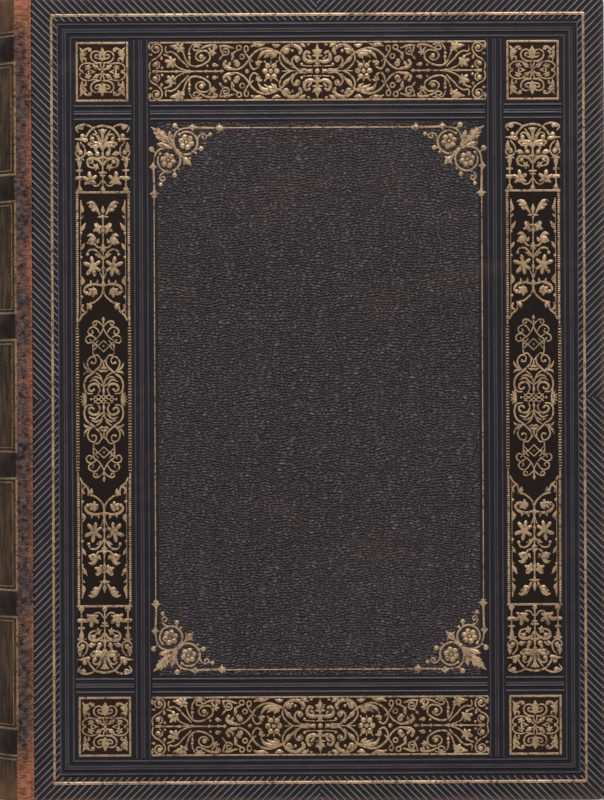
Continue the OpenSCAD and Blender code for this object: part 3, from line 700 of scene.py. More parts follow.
# %% Head and tail panels
PANEL = [
    ([(-59.8, 0.4), (-60.1, 2.3), (-59.1, 3.9), (-57.4, 4.9), (-56.1, 6.2), (-55.5, 7.6),
      (-55.9, 9.2), (-57.4, 9.9), (-58.9, 9.1), (-59.1, 7.8), (-58.2, 6.8), (-57, 7.1),
      (-56.6, 8.1), (-57.3, 8.8)], [0.5, 0.55, 0.6, 0.55, 0.5, 0.7]),
    ([(-58, 2.5)], 1.7),
    ([(-57.4, 3.7), (-56.5, 2.9), (-56.6, 1.6), (-57.5, 1)], [0.4, 0.5, 0.5, 0.4]),
    ([(-60.2, 9.9), (-60, 8.9), (-59.9, 7.9)], [0.3, 1.2, 0.3]), ([(-57.5, 8.4)], 1.5),
    leaf(-59.4, 6.0, 0.9, 180, BUD), leaf(-55.7, 4.6, 1.0, 100, BUD),
    ([(-55.5, 1.3)], 0.9), ([(-58.5, 0), (-57.1, 0)], [1.0, 1.2, 1.0]),
    ([(-57, 0), (-52, 0), (-46.3, 0)], [0.5]), ([(-51.1, 0), (-50.4, 0), (-49.7, 0)], [0.4, 1.1, 0.4]),
    ([(-46.5, 0), (-45.9, 0), (-45.3, 0)], [0.8, 1.3, 0.7]),
    ([(-54.1, 8.8), (-54.3, 7.8), (-53.9, 6.8), (-52.3, 7), (-50.4, 6), (-49, 4.3), (-47.5, 2.9),
      (-46.3, 1.6)], [0.5, 0.5, 0.6, 0.6, 0.55, 0.5]),
    ([(-45.7, 2.6), (-45.7, 5.0)], [0.5]), ([(-45.7, 4.9)], 1.0), ([(-45.8, 6.2)], 1.0),
    ([(-45.8, 6.5), (-45.7, 7.8), (-44.9, 9.2)], [0.5, 0.5, 0.4]),
    leaf(-52.0, 3.2, 2.35, 165), ([(-52.8, 3.5), (-51.2, 2.8), (-50.4, 1.9)], [0.5, 0.7, 0.5]),
    ([(-54.7, 6), (-53.3, 5.5), (-52.3, 4.5)], [0.6, 0.5, 0.4]),
    ([(-50.4, 1.9), (-48.8, 1), (-46.3, 0.1)], [0.4, 0.5, 0.5]),
    leaf(-49.1, 8.2, 2.1, 120), ([(-49.4, 8.9), (-51.0, 8.9), (-52.6, 9.1)], [1.6, 1.4, 0.4]),
    ([(-48.6, 8.0), (-47.6, 7.2)], [0.8, 0.4]),
    ([(-49.4, 8.0), (-48.0, 6.8), (-47.1, 4.4), (-45.8, 2.5), (-44.0, 1.8), (-41.8, 2.1),
      (-40.1, 2.9), (-38.5, 4.3), (-38.5, 6.2), (-39.7, 7.3), (-41.8, 7.2), (-43.2, 6.2),
      (-43.4, 4.9), (-42.4, 3.9), (-41, 3.9), (-40.1, 4.9)], [0.4, 0.6, 0.65, 0.65, 0.6, 0.55, 0.5]),
    ([(-41.4, 5.3)], 1.6), leaf(-37.6, 6.5, 1.5, 60), leaf(-36.9, 2.3, 1.4, 350, BUD),
    ([(-38.6, 8.1)], 0.8), ([(-39.3, 2)], 0.8),
    ring(-43.3, 8.2, 1.1, 0.75),
    ([(-41.8, 8), (-39.7, 9), (-37.3, 9.3), (-36, 8.9), (-36.2, 8.2), (-37.2, 8.4)],
     [0.5, 0.8, 0.9, 0.7, 0.6]), ([(-44.8, 9.5), (-42.9, 9.6), (-41.2, 9.3)], [0.3, 1.0, 0.3]),
    ([(-45, 0), (-40, 0), (-34, 0)], [0.5]), ([(-40.3, 0), (-39.7, 0), (-39.1, 0)], [0.5, 1.2, 0.5]),
    ([(-36.9, 0), (-36.4, 0), (-35.9, 0)], [0.5, 1.2, 0.5]),
    ([(-34.7, 0), (-34.2, 0), (-33.6, 0)], [0.5, 1.4, 0.4]),
    ([(-34.8, 9), (-34.2, 7), (-33.2, 5.8), (-31.7, 6.4), (-31.9, 7.8), (-33.2, 8.1),
      (-33.5, 7), (-32.5, 6.9)], [0.6, 0.55, 0.6, 0.6, 0.5, 0.5]),
    ([(-34.8, 9), (-32.7, 9), (-29.9, 8.2)], [0.5, 0.9, 0.5]),
    ([(-33.4, 5.8), (-34.4, 5.2)], [0.5, 0.4]), leaf(-34.5, 4.8, 0.9, 230, BUD),
    ([(-29.9, 0.8), (-32.1, 1.2), (-33.4, 2.3), (-33, 3.4)], [0.8, 1.3, 1.1, 0.8]),
    ([(-32.8, 3.5)], 1.1), ([(-32.2, 1.8), (-31.4, 2.6), (-31.2, 3.4)], [0.7, 1.1, 0.2]),
    ([(-30.6, 3.8), (-30.3, 5.4), (-30.6, 6.6)], [0.3, 1.2, 0.3]),
    ([(-31.5, 0.8), (-29.9, 0.6), (-28.1, 0.8), (-26.3, 1.9), (-24.9, 3.5), (-24.2, 4.5),
      (-23.5, 5.6), (-21.7, 7.2), (-19.6, 8), (-17.8, 8.1), (-15.5, 7.4), (-13.2, 6.3),
      (-11.4, 4.5), (-10, 2.9), (-8.7, 1.3)], [0.5, 0.6, 0.65, 0.7, 0.75, 0.7, 0.65, 0.6]),
    ring(-28.0, 8.4, 0.85, 0.85), ring(-25.4, 8.0, 0.75, 1.0), ring(-26.9, 5.2, 0.8, 0.8),
    ([(-28, 7.6), (-29.4, 6.9), (-30.6, 5.8), (-29.9, 4.8)], [0.4, 0.6, 0.6, 0.4]),
    ([(-26, 7), (-24.7, 5.1), (-23.1, 3.5)], [0.4, 0.6, 0.4]),
    leaf(-28.6, 2.5, 1.5, 110, BUD, 0.6), ([(-29.9, 3.2), (-29.3, 3.9), (-28.4, 3.9)], [0.5, 0.7, 0.4]),
    ([(-24.2, 4), (-24, 2.2), (-22.8, 0.7), (-21.2, 1.3)], [0.5, 0.6, 0.6, 0.6]),
    leaf(-21.4, 2.7, 1.25, 20), ([(-21.8, 3.1), (-20.6, 3.5), (-19.9, 3.2)], [0.5, 0.7, 0.5]),
    ([(-13.5, 6.5), (-16.5, 7.0), (-19.6, 6.4), (-21.2, 4.4)], [0.6, 1.3, 1.3, 0.4]),
    ([(-14.5, 6.4), (-17.0, 6.1), (-18.9, 4.9)], [0.8, 1.6, 0.4]),
    leaf(-15.5, 5.7, 1.5, 235, BUD, 0.6),
    ([(-16.6, 0)], 1.5), ([(-18.7, 0)], 1.8), ([(-14.5, 0)], 1.8), ([(-17.7, 1.9)], 1.8),
    ([(-15.5, 1.9)], 1.8), ([(-15.0, 2.7), (-14.3, 3.5)], 0.5),
    ([(-18.2, 2.7), (-18.9, 3.5)], 0.5), ([(-16.6, 2.7), (-16.6, 3.5)], 0.4),
    ([(-13.2, 6.1), (-13.5, 4.5), (-12.8, 2.6), (-11.2, 1), (-9.6, 0.1)], [0.5, 0.6, 0.6, 0.5]),
    ([(-12.2, 5.0), (-11.3, 4.0), (-10.0, 2.7)], [0.8, 1.5, 0.6]),
    ([(-4.1, 0.7), (-6.9, 0.6), (-8.4, 1.9), (-9.1, 3.5), (-8.4, 4.9), (-7.1, 5.1), (-6.3, 4.2),
      (-7.1, 3.3), (-7.8, 4)], [0.5, 0.6, 0.65, 0.65, 0.6, 0.55, 0.6]),
    ([(-13.2, 6.5), (-12.1, 8.1), (-9.8, 9.2), (-7.3, 8.8), (-5.9, 7.4), (-6.3, 6.3)],
     [0.5, 0.9, 1.1, 1.2, 1.3, 1.0]),
    leaf(-11.2, 7.2, 1.7, 30, BUD, 0.6), ([(-7.5, 4.3)], 1.3), ([(-8.9, 7.2)], 1.0),
    ([(-23.6, 8.8), (-22.2, 9.4), (-20.4, 9.2), (-18.7, 9.7)], [0.5, 1.2, 1.2, 0.4]),
    ([(-16.0, 9.5), (-14.7, 9.0), (-13.3, 9.3)], [0.4, 1.3, 0.4]),
    ([(-6.5, 9.6), (-5.3, 9.3), (-4.4, 8.7)], [0.4, 1.3, 0.5]), leaf(-3.0, 9.5, 0.8, 200, BUD),
    ([(-25.1, 0)], 1.4),
    ([(-5.6, 2.4)], 1.0), ([(-5.2, 1.9), (-3.5, 1.8), (-2, 1.7)], [0.35]),
    ([(-12.6, 0), (-8, 0), (-4.5, 0), (-2.6, 0)], [0.3, 0.5, 0.9, 1.3]), ([(-1.9, 0), (-1.9, 0.7)], [0.4]),
    ([(0, 0)], 1.6), ([(-1.2, 1.8), (0, 1.8)], [0.45]),
    ([(0, 2.0), (0, 2.8), (0, 4.4), (0, 5.8), (0, 6.8), (0, 7.8), (0, 9.7)],
     [0.9, 1.6, 0.9, 1.5, 2.9, 1.5, 0.15]),
    ([(-0.4, 6.8), (-1.0, 7.2), (-1.8, 7.5)], [0.9, 0.8, 0.2]),
    ([(-0.5, 5.4), (-1.6, 5.5)], [0.8, 0.5]),
    ([(-0.9, 3.6), (-2.7, 3.3), (-4.4, 4.1), (-4.6, 5.7), (-3.9, 6.9), (-2.9, 6.5)],
     [0.8, 1.3, 1.3, 1.1, 0.9, 1.0]), ([(-3.4, 5.4), (-2.7, 5.0), (-2.2, 4.2)], [0.5, 0.9, 0.5]),
]
PANEL_LINE = 10.3
for end, node in ((1, "gilt_head_panel"), (-1, "gilt_tail_panel")):
    panel = Drawing()
    panel.motif(PANEL, (0, end * end_y), FOUR)
    for y in (end * end_y - PANEL_LINE, end * end_y + PANEL_LINE):
        panel.stroke([(-panel_half, y), (panel_half, y)], [0.6])
    on_cover(panel, node.replace("gilt_", "") + "_tooling", cover_top, node)

# %% [markdown]
# A side column mirrors round the middle of the cover. From its end inwards it has a box with an
# arch and two balusters, a framed panel with a candelabrum, and half of a cartouche. Heights are
# from the middle of the cover, and only one half of the width is drawn. The end box is drawn
# from its own foot and lifted to its place.

# %% The end box of a column
BOX_FOOT = 74.0


def lift(strokes, up):
    """The same strokes, moved up."""
    return [([(x, y + up) for x, y in points], widths) for points, widths in strokes]


END_BOX = lift([
    ([(-9.5, 0), (0, 0)], [0.75]),
    ([(-6, 19.8), (-5.2, 21.1), (-3.5, 22.9), (-1.3, 23.6), (0, 23.8)], [0.7, 0.75, 0.8]),
    ([(-3.5, 23), (-4.8, 23.8), (-6.6, 24.2), (-8.7, 23.8), (-9.5, 22.9), (-8.7, 21.5)],
     [0.4, 0.6, 0.7, 0.65, 0.6, 0.4]),
    leaf(-7.6, 23.2, 1.25, 190, BUD, 0.6), ([(-7.2, 20.2)], 1.5),
    ([(-9.8, 19.1), (-8, 19), (-6, 18.7)], [0.25, 0.9, 1.4]),
    ([(0, 14.9), (0, 18), (0, 20.6), (0, 21.6)], [0.5, 0.7, 1.1, 2.0]),
    ([(-1.3, 22.2), (0, 22.2)], 0.5),
    ([(-0.4, 16.5), (-0.9, 19), (-2.1, 21.1), (-2.9, 22.2)], [0.5, 0.6, 0.6, 0.3]),
    ([(-0.6, 16.5), (-2.1, 20.2), (-3.5, 20.7), (-4.3, 20)], [0.4, 0.6, 0.6, 0.5]),
    ([(-3.7, 19.1)], 1.5),
    ([(-0.3, 15.5), (-1.0, 17.0), (-2.8, 17.6), (-4.6, 17.7), (-5.2, 17.2), (-4.4, 16.8)],
     [0.6, 1.3, 1.3, 0.8, 0.5, 0.5]), ([(-1.3, 16.7), (-2.8, 16.5), (-4.2, 16.2)], [1.2, 1.5, 0.5]),
    ([(-2.3, 16.0), (-2.5, 15.1), (-1.9, 14.1)], [0.8, 1.0, 1.0]), ([(-1.9, 13.8)], 1.6),
    ([(-7.9, 17.8), (-6.6, 16.3), (-6.2, 14.7), (-6.6, 13.2), (-7.9, 12.5), (-9.3, 13.2),
      (-9.6, 14.7), (-8.5, 15.3), (-7.5, 14.8), (-7.4, 13.9), (-8.2, 13.8)],
     [0.5, 0.6, 0.6, 0.55, 0.5, 0.5, 0.7]),
    ([(-8.9, 14.9), (-8.9, 16.2), (-8.9, 17.8)], [1.0, 1.5, 0.4]), ([(-8.0, 14.2)], 1.2),
    ([(-5.9, 13.9), (-4.7, 13.9), (-3.3, 13.5)], [0.6, 1.7, 0.3]),
    ([(-1.7, 12.3), (-0.8, 12.4), (0, 12.5)], [0.4, 0.9, 1.2]), ([(0, 13), (0, 14.9)], [0.9, 1.4, 0.6]),
    ([(-0.4, 9.9), (-1.3, 11.4), (-3.1, 12.2), (-4.8, 12), (-5.6, 10.9), (-5, 9.3), (-3.9, 8.9)],
     [0.6, 1.0, 1.1, 1.0, 0.8, 0.7, 0.5]),
    leaf(-3.9, 10.9, 1.1, 200, BUD, 0.6), leaf(-2.2, 9.2, 1.45, 200),
    ([(0, 12), (0, 6), (0, 0.6)], [0.5]), ([(-1.1, 7), (0, 7)], [0.7, 0.8]),
    ([(-0.7, 6), (0, 6)], [0.6]), ([(0, 2.2), (0, 1.1)], [0.5, 0.8, 1.7]),
    leaf(-4.55, 4.2, 2.9, 95, VINE, 0.4, 34),
    ([(-4.0, 3.2), (-2.9, 2.3), (-1.5, 2.6), (-0.4, 4.1)], [0.5, 0.55, 0.5, 0.4]),
    ([(-9.5, 11.7), (-8.9, 12.1), (-7.7, 12.1), (-6.9, 11.7)], 0.55),
    ([(-8.3, 11.6), (-8.3, 10.4), (-8.3, 8.8)], [1.5, 1.5, 0.7]),
    ([(-9.1, 7.8), (-7.5, 7.8)], [0.8]), ([(-9.1, 5.1), (-7.5, 5.1)], [1.3]),
    ([(-8.3, 8.6), (-8.3, 1)], [0.55]), ([(-8.3, 2.4), (-8.3, 1.1)], [0.6, 1.0, 2.0]),
], BOX_FOOT)

# %% The framed panel of a column
CANDELABRUM = [
    ([(-8, 71), (-8, 30)], [0.25]), ([(-7.9, 71.2), (-7.7, 69.4), (-7.3, 67.7), (-7.9, 66.6)],
                                     [0.3, 0.7, 1.1, 0.4]),
    ([(-7.8, 64.7), (-7.2, 65.4)], 0.5), ([(-7.8, 60.2), (-7.2, 61.4), (-6.2, 63.0)], [0.5, 1.3, 0.3]),
    ([(-7.8, 59.4)], 0.9), ([(-7.8, 53.6), (-7.3, 54.6), (-6.7, 55.6)], [0.5, 1.1, 0.3]),
    ([(-7.8, 50.8)], 0.9), ([(-7.7, 40.9), (-7.2, 42.2), (-7.7, 43.8)], [0.5, 1.3, 0.4]),
    ([(-7.7, 36.6)], 1.0), ([(-7.8, 32.4), (-7.3, 33.6)], 0.7),
    ([(0, 40), (0, 54), (0, 67)], [0.5]), ([(0, 66.2), (0, 67.4), (0, 69.2)], [0.5, 1.3, 0.2]),
    ([(-1.8, 65.2), (-0.6, 65.3), (0, 65.2)], [0.3, 0.8, 1.2]), ([(0, 63.6), (0, 65.2)], [0.3, 1.2]),
    ([(-1.1, 66.1), (-2.2, 67.9), (-3.6, 69.6), (-4.6, 70.4), (-5.6, 70.1)],
     [0.5, 1.2, 1.9, 1.1, 0.4]), ([(-2.4, 68.0), (-3.4, 67.7), (-4.0, 67.9)], [1.2, 1.2, 0.4]),
    ([(-3.2, 69.2), (-4.4, 68.9), (-4.9, 69.1)], [1.1, 1.0, 0.4]),
    leaf(-1.9, 60.9, 1.75, 120, CLOVER, 0.5, 44), ([(-1.3, 61.8), (-2.4, 62.8), (-3.0, 62.6)], [0.8, 0.7, 0.4]),
    ([(0, 62.6), (0, 60.2), (0, 59)], [0.3, 1.3, 0.6]),
    ([(0, 54.3), (-1.6, 54.3), (-2.6, 55.0), (-3.4, 56.2)], [0.5, 0.6, 0.7, 0.6]),
    leaf(-4.0, 56.5, 1.7, 200, BUD, 0.7), ([(-3.0, 57.3), (-4.2, 58.7), (-5.5, 58.5)], [1.2, 1.3, 0.4]),
    leaf(-2.0, 56.3, 1.1, 60, BUD, 0.5),
    ([(0, 54.8)], 1.2), ([(0, 54), (0, 53.4), (0, 52.6)], [1.0, 2.0, 0.6]),
    ([(0, 49.8), (-1.4, 52), (-2.9, 53.4), (-4.8, 53.4), (-5.7, 52.1)], [0.6, 0.7, 0.7, 0.6, 0.4]),
    ([(-5.6, 51.8)], 1.1), ([(-1.3, 50.6), (-1.9, 51.5), (-2.9, 51.9)], [0.3, 1.0, 0.2]),
    leaf(-3.6, 47.5, 3.3, 0, [(38, 0.88), (100, 0.98), (158, 1.0), (232, 1.0), (280, 0.94), (328, 0.85)],
         0.36, 29, 72), ([(-3.6, 47.6)], 0.9),
    ([(0, 45.8), (0, 46.8), (0, 47.8)], [0.4, 1.2, 0.3]),
    ([(-1.1, 45.2), (-0.5, 44), (0, 42.5)], [0.3, 0.5, 0.6]), ([(0, 42), (0, 41), (0, 40)], [0.7, 1.6, 0.6]),
    leaf(-4.4, 41.8, 0.8, 100, BUD), leaf(-2.1, 41.9, 0.85, 80, BUD),
    ([(-0.4, 40.6), (-3.2, 41.2), (-5.7, 40.5), (-6.8, 38.8), (-6, 37.7)], [0.5, 0.9, 1.0, 0.8, 0.5]),
    ([(-5.9, 38.0)], 1.3), leaf(-3.5, 38.5, 2.0, 210, VINE, 0.6, 40),
    ([(0, 39.8), (-0.5, 37.5), (-1.7, 36), (-3.5, 34.6), (-5.2, 34), (-6, 31.4), (-7.5, 30.1),
      (-8.5, 28.3)], [0.6, 0.6, 0.65, 0.65, 0.6]),
    ([(-5.6, 34.0), (-4.7, 33.2), (-4.5, 32.2)], [0.8, 1.5, 0.5]),
    ([(-6.4, 31.2), (-7.3, 31.8), (-7.6, 32.6)], [0.5, 0.8, 0.2]),
]

# %% The cartouche of a column
CARTOUCHE = [
    ([(0, 27.7), (0, 28.5), (0, 29.5)], [0.4, 1.3, 0.2]), ([(0, 25.2), (0, 27.7)], [0.6]),
    ([(0, 25.9), (-1, 27.1), (-2.3, 27.9), (-3.5, 27.7), (-3.7, 26.7), (-2.7, 26.5), (-2.5, 27.2)],
     [0.4, 0.6, 0.7, 0.6, 0.5, 0.5]),
    ([(-1.4, 23.8), (-2.3, 25.2), (-3.7, 25.9), (-5.1, 25.2), (-5.5, 24), (-4.7, 23.2),
      (-3.7, 23.8), (-4.1, 24.5)], [0.5, 0.6, 0.65, 0.6, 0.5, 0.5]),
    ([(-2.9, 21.9), (-4.3, 22.8), (-5.8, 22.4), (-6.3, 21.1), (-5.5, 20.1), (-4.3, 20.5),
      (-4.7, 21.3)], [0.5, 0.6, 0.6, 0.55, 0.5, 0.5]),
    ([(0, 25.4), (-1, 23.4), (-2.5, 21.7), (-3.7, 20.9), (-3.8, 18.9), (-3.7, 16.4),
      (-3.3, 15.7), (-2.1, 15.8), (-1.2, 14.6), (-0.4, 13.7)], [0.5, 0.6]),
    ([(-3.5, 20.4), (-1.8, 18.8), (0, 17.0)], [0.42]), ([(-3.5, 17.6), (-1.8, 19.3), (0, 21.0)], [0.42]),
    ([(-3.6, 19.0), (-2.0, 20.9)], [0.42]), ([(0, 19.0)], 0.7), ([(-2.6, 19.0)], 0.6),
    ([(-0.8, 13.7), (-1.2, 12.1), (-2.7, 10.5), (-4.1, 9.2), (-6, 7.8), (-6.9, 5.7), (-6.8, 3.7),
      (-5.8, 2.2), (-4.1, 2)], [0.6, 0.7, 0.8, 0.85, 0.8, 0.7, 0.6, 0.5]),
    ([(-4.1, 9.8), (-5.3, 11.1), (-5.8, 13.1), (-4.9, 14.8), (-3.5, 15.2), (-2.7, 14.1),
      (-3.1, 12.9), (-4.3, 12.9)], [0.6, 0.7, 0.65, 0.6, 0.55, 0.6]),
    ([(-5.3, 10.2), (-6.6, 11.5), (-7.2, 13.1)], [0.5, 0.9, 0.2]),
    ([(-4.7, 9.8), (-6.4, 9.7), (-7.2, 8.8)], [0.5, 0.9, 0.2]),
    ([(-2.1, 1.8), (-1.4, 3.3), (-2.1, 5.1), (-3.7, 5.5), (-5.1, 4.7), (-5.3, 3.5), (-4.3, 2.9),
      (-3.5, 3.5)], [0.4, 0.8, 1.0, 0.9, 0.7, 0.9]),
    ([(-2.7, 9.4), (-1.2, 8.2), (-0.4, 6.3), (0, 5.1)], [0.5, 0.7, 0.6, 0.4]),
    ([(-5.1, 6.3), (-3.1, 7), (-1.6, 5.7), (0, 4.5)], [0.3, 0.8, 0.7, 0.4]),
    ([(-4.5, 7.4), (-2.7, 8), (-0.8, 7)], [0.2, 0.7, 0.4]),
    ([(-0.8, 11.1), (0, 11.3)], [0.9, 1.2]), ([(-1.9, 10.6), (-0.9, 10.0), (0, 10.2)], [0.2, 0.9, 0.6]),
    ([(0, 11.8), (0, 13.4)], [0.9, 0.4]), ([(0, 2.1), (0, 3.0), (0, 4.2)], [0.5, 1.2, 0.4]),
    ([(-3.7, 0), (-1.9, 1.5), (0, 0.1)], [0.4]), ([(-3.4, 1.2), (-1.8, 0.05), (0, 1.6)], [0.4]),
    ([(-6.2, 0.3), (-6.6, 1.6), (-7.0, 3.2)], [0.4, 0.8, 0.2]),
    ([(-6.2, 0.2), (-7.0, 1.2), (-7.8, 2.4)], [0.4, 0.8, 0.2]),
    ([(-6.3, 0.1), (-7.4, 0.6), (-8.4, 1.2)], [0.4, 0.8, 0.2]),
    ([(-6.3, 0), (-8.3, 0)], [0.4, 0.9, 0.3]), ([(-4.5, 0)], 0.9), ([(-4.2, 13.2)], 0.9),
    ([(-9.3, 26.4), (-9.3, 28.8)], [0.7, 0.9]),
]
print(len(END_BOX) + len(CANDELABRUM) + len(CARTOUCHE), "strokes in a quarter of a column")

# %% [markdown]
# Rungs, beads and ribs repeat at an even pitch, which is work for Geometry Nodes. A tree is built
# once with its sizes as named inputs. `grow` runs it on an empty mesh, keeps the result as a
# plain mesh and drops the modifier, because the frame wants finished meshes.

# %% Growing a mesh from a Geometry Nodes tree


def geometry_tree(name, **inputs):
    return new_tree(name, "GeometryNodeTree", {"Geometry": "NodeSocketGeometry"}, **inputs)


def painted(instances, material):
    """Makes instances real and gives them a material."""
    real = add(instances.id_data, "GeometryNodeRealizeInstances", {0: instances}).outputs[0]
    return add(real.id_data, "GeometryNodeSetMaterial", {0: real, "Material": material}).outputs[0]


def together(tree, parts):
    """Joins the geometry of several sockets."""
    both = add(tree, "GeometryNodeJoinGeometry")
    for part in parts:
        feed(both, {0: part})
    return both.outputs[0]


def grow(name, tree, **values):
    """Runs a tree with these inputs and returns its mesh as an object."""
    piece = build(name, [], [], [])
    modifier = piece.modifiers.new("grow", "NODES")
    modifier.node_group = tree
    for item in tree.interface.items_tree:
        if item.in_out == "INPUT" and item.name in values:
            modifier[item.identifier] = values[item.name]
    bpy.context.view_layer.update()
    evaluated = piece.evaluated_get(bpy.context.evaluated_depsgraph_get())
    mesh = bpy.data.meshes.new_from_object(evaluated)
    piece.modifiers.remove(modifier)
    piece.data = mesh
    mesh.name = name
    return piece


def join(name, pieces):
    """Several mesh pieces as one smooth-shaded piece."""
    shaped = bmesh.new()
    materials = []
    for piece in pieces:
        first = len(shaped.faces)
        shaped.from_mesh(piece.data)
        shaped.faces.ensure_lookup_table()
        for face in shaped.faces[first:]:
            used = piece.data.materials[face.material_index]
            if used not in materials:
                materials.append(used)
            face.material_index = materials.index(used)
    made = build(name, [], [], materials)
    shaped.to_mesh(made.data)
    shaped.free()
    for piece in pieces:
        bpy.data.objects.remove(piece)
    made.data.shade_smooth()
    return made


# %% [markdown]
# The rails of a column are rows of small gilt beads or rungs, one row at each side of its axis.
# An icosphere pressed to the right size is the bead, and a line of points carries it.

# %% Rows of beads and rungs
BEAD_RISE = 0.5
row_tree, given, result = geometry_tree(
    "bead_rows", count=10, pitch=1.0, across=1.0, along=1.0, rise=0.3, gap=9.2, foot=0.0, level=0.0,
    axis=0.0, material=None)
rows = []
for sign in (-1.0, 1.0):
    place = vector(row_tree, plus(given["axis"], times(given["gap"], sign)), given["foot"], given["level"])
    rows.append(add(row_tree, "GeometryNodeMeshLine", {
        "Count": given["count"], "Start Location": place,
        "Offset": vector(row_tree, 0.0, given["pitch"])}).outputs[0])
ball = add(row_tree, "GeometryNodeMeshIcoSphere", {"Radius": 0.5, "Subdivisions": 2}).outputs[0]
beads = add(row_tree, "GeometryNodeInstanceOnPoints", {
    "Points": together(row_tree, rows), "Instance": ball,
    "Scale": vector(row_tree, given["across"], given["along"], given["rise"])}).outputs[0]
feed(result, {0: painted(beads, given["material"])})


def bead_rows(name, axis, gap, start, end, pitch, across, along):
    """Two rows of gilt beads on the cover, from height `start` to height `end`."""
    count = int(round((end - start) / pitch)) + 1
    return grow(name, row_tree, count=count, pitch=pitch * MM, across=across * MM, along=along * MM,
                rise=BEAD_RISE * MM, gap=gap * MM, foot=start * MM, level=cover_top * MM,
                axis=(middle + axis) * MM, material=gold)


print("bead rows:", len(row_tree.nodes), "nodes")

# %% Side columns
CARTOUCHE_END = 25.6
for side, node in ((-1, "gilt_joint_side_column"), (1, "gilt_fore_side_column")):
    column = Drawing()
    axis = side * column_x
    for motif, bold in ((END_BOX, 1.18), (CANDELABRUM, 1.18), (CARTOUCHE, 1.0)):
        column.bold = bold
        column.motif(motif, (axis, 0), FOUR)
    for x in (-8.85, -9.85, 8.85, 9.85):
        column.stroke([(axis + x, -CARTOUCHE_END), (axis + x, CARTOUCHE_END)], [0.14])
    on_cover(column, node.replace("gilt_", "") + "_tooling", cover_top, node)
    rails = [bead_rows("ladder", axis, 9.34, 0.1 - CARTOUCHE_END, CARTOUCHE_END - 0.1, 1.04, 1.2, 0.5)]
    rails += [bead_rows("rail", axis, 9.2, low, high, 0.74, 1.15, 0.66)
              for low, high in ((-73.6, -29.2), (29.2, 73.6))]
    rails = join(node.replace("gilt_", "") + "_rails", rails)
    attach(rails, "front_cover")
    print(rails.name, len(rails.data.polygons), "faces")

# %% [markdown]
# The centre field has a thin gilt line with a corner piece at each corner: an acanthus leaf on
# the diagonal, two round scrolls that hold flowers, and turned knobs where the line begins.
# The piece mirrors across the diagonal, so each stroke is drawn twice, the second time with its
# two coordinates swapped.

# %% Corner pieces of the centre field
KNOB_END = 24.9
FLOWER = flower(11.6, 5.1, 2.75, 6, 15)
CORNER_HALF = [
    ([(7.9, 7.8), (7.0, 5.9), (6.3, 4.0), (5.9, 2.5), (5.6, 1.1)], [0.5, 0.9, 1.4, 1.6, 0.2]),
    ([(5.0, 4.8), (4.7, 3.5), (4.2, 2.5)], [0.6, 0.9, 0.2]),
    ([(3.7, 3.3), (3.6, 1.9), (3.0, 0.7)], [0.9, 1.1, 0.2]),
    ([(2.3, 2.0), (2.1, 0.9), (1.5, -0.1)], [0.8, 0.9, 0.2]),
    ([(8.2, 8.3), (7.5, 6.8), (7.1, 4.5), (7.7, 2.1), (9.0, 0.8), (10.6, 0.2), (13.3, -0.1)],
     [0.7, 0.6, 0.6, 0.55]),
    ([(8.4, 8.1), (10.2, 9.3), (12.3, 9.4), (14.2, 8.4), (15.4, 6.7), (15.6, 4.7), (14.7, 2.8), (13.0, 1.6),
      (10.9, 1.4), (9.2, 2.4)], [0.7, 0.7, 0.75, 0.7, 0.65, 0.6, 0.5]), ([(9.2, 2.3)], 1.0),
    ([(7.6, -0.8)], 1.8), ([(8.2, -0.3), (9.0, 0.7)], [0.5]),
    ([(12.8, -0.3), (13.9, -0.3), (15.0, -0.2)], [0.7, 1.9, 0.8]), ([(13.9, 0.8), (13.9, -1.3)], [0.5]),
    ([(14.9, -0.1), (22.0, 0.1)], [0.72]),
    ([(21.6, 0.1), (22.6, 0.1), (23.4, 0.1), (24.3, 0.1), (25.0, 0.1)], [0.6, 1.2, 2.3, 1.3, 0.5]),
    ([(23.5, 1.5), (23.5, -1.3)], [0.5]), ([(24.6, 0.8), (24.6, -0.6)], [0.4]),
    ([(15.5, 4.6), (16.1, 3.1), (17.2, 2.2), (18.3, 2.3), (18.9, 3.1), (18.3, 3.9), (17.4, 3.6), (17.6, 3.0)],
     [0.6, 0.55, 0.55, 0.5, 0.6]),
    ([(20.2, 2.4)], 1.3), ([(18.9, 2.9), (19.9, 2.5)], [0.4]), ([(16.9, 7.4)], 1.6), ([(15.0, 8.9)], 0.9),
    ([(15.0, 7.4), (16.3, 7.4)], [0.5]),
] + FLOWER
CORNER_MIDDLE = [
    ([(8.2, 8.2), (6.0, 6.0), (4.2, 4.2), (2.8, 2.8), (1.2, 1.2), (-1.0, -0.4)],
     [0.8, 0.9, 1.7, 2.3, 1.6, 0.2]),
    ([(8.3, 8.3)], 1.5), ([(8.8, 8.8), (10.6, 10.6)], [0.55]),
    ([(10.4, 10.4), (11.8, 11.8), (13.5, 13.5)], [0.7, 2.0, 0.1]),
    ([(13.3, 10.4), (11.8, 11.7), (10.4, 13.3)], [0.1, 1.3, 0.1]),
]
centre = Drawing()
for flip in FOUR:
    corner = (flip[0] * centre_x, flip[1] * centre_y)
    inward = ((-flip[0], -flip[1]),)
    centre.motif(CORNER_MIDDLE, corner, inward)
    centre.motif(CORNER_HALF, corner, inward)
    centre.motif(CORNER_HALF, corner, inward, swap=True)
for sign in (-1, 1):
    centre.stroke([(sign * centre_x, KNOB_END - centre_y), (sign * centre_x, centre_y - KNOB_END)], [0.4])
    centre.stroke([(KNOB_END - centre_x, sign * centre_y), (centre_x - KNOB_END, sign * centre_y)], [0.4])
on_cover(centre, "centre_frame_tooling", cover_top, "gilt_centre_frame")

border = Drawing(height=0.14)
frame_lines(border, 0, 0, line_x, line_y, 0.95, 0.8)
on_cover(border, "border_line_tooling", cover_top + RELIEF - 0.04, "gilt_border_line")

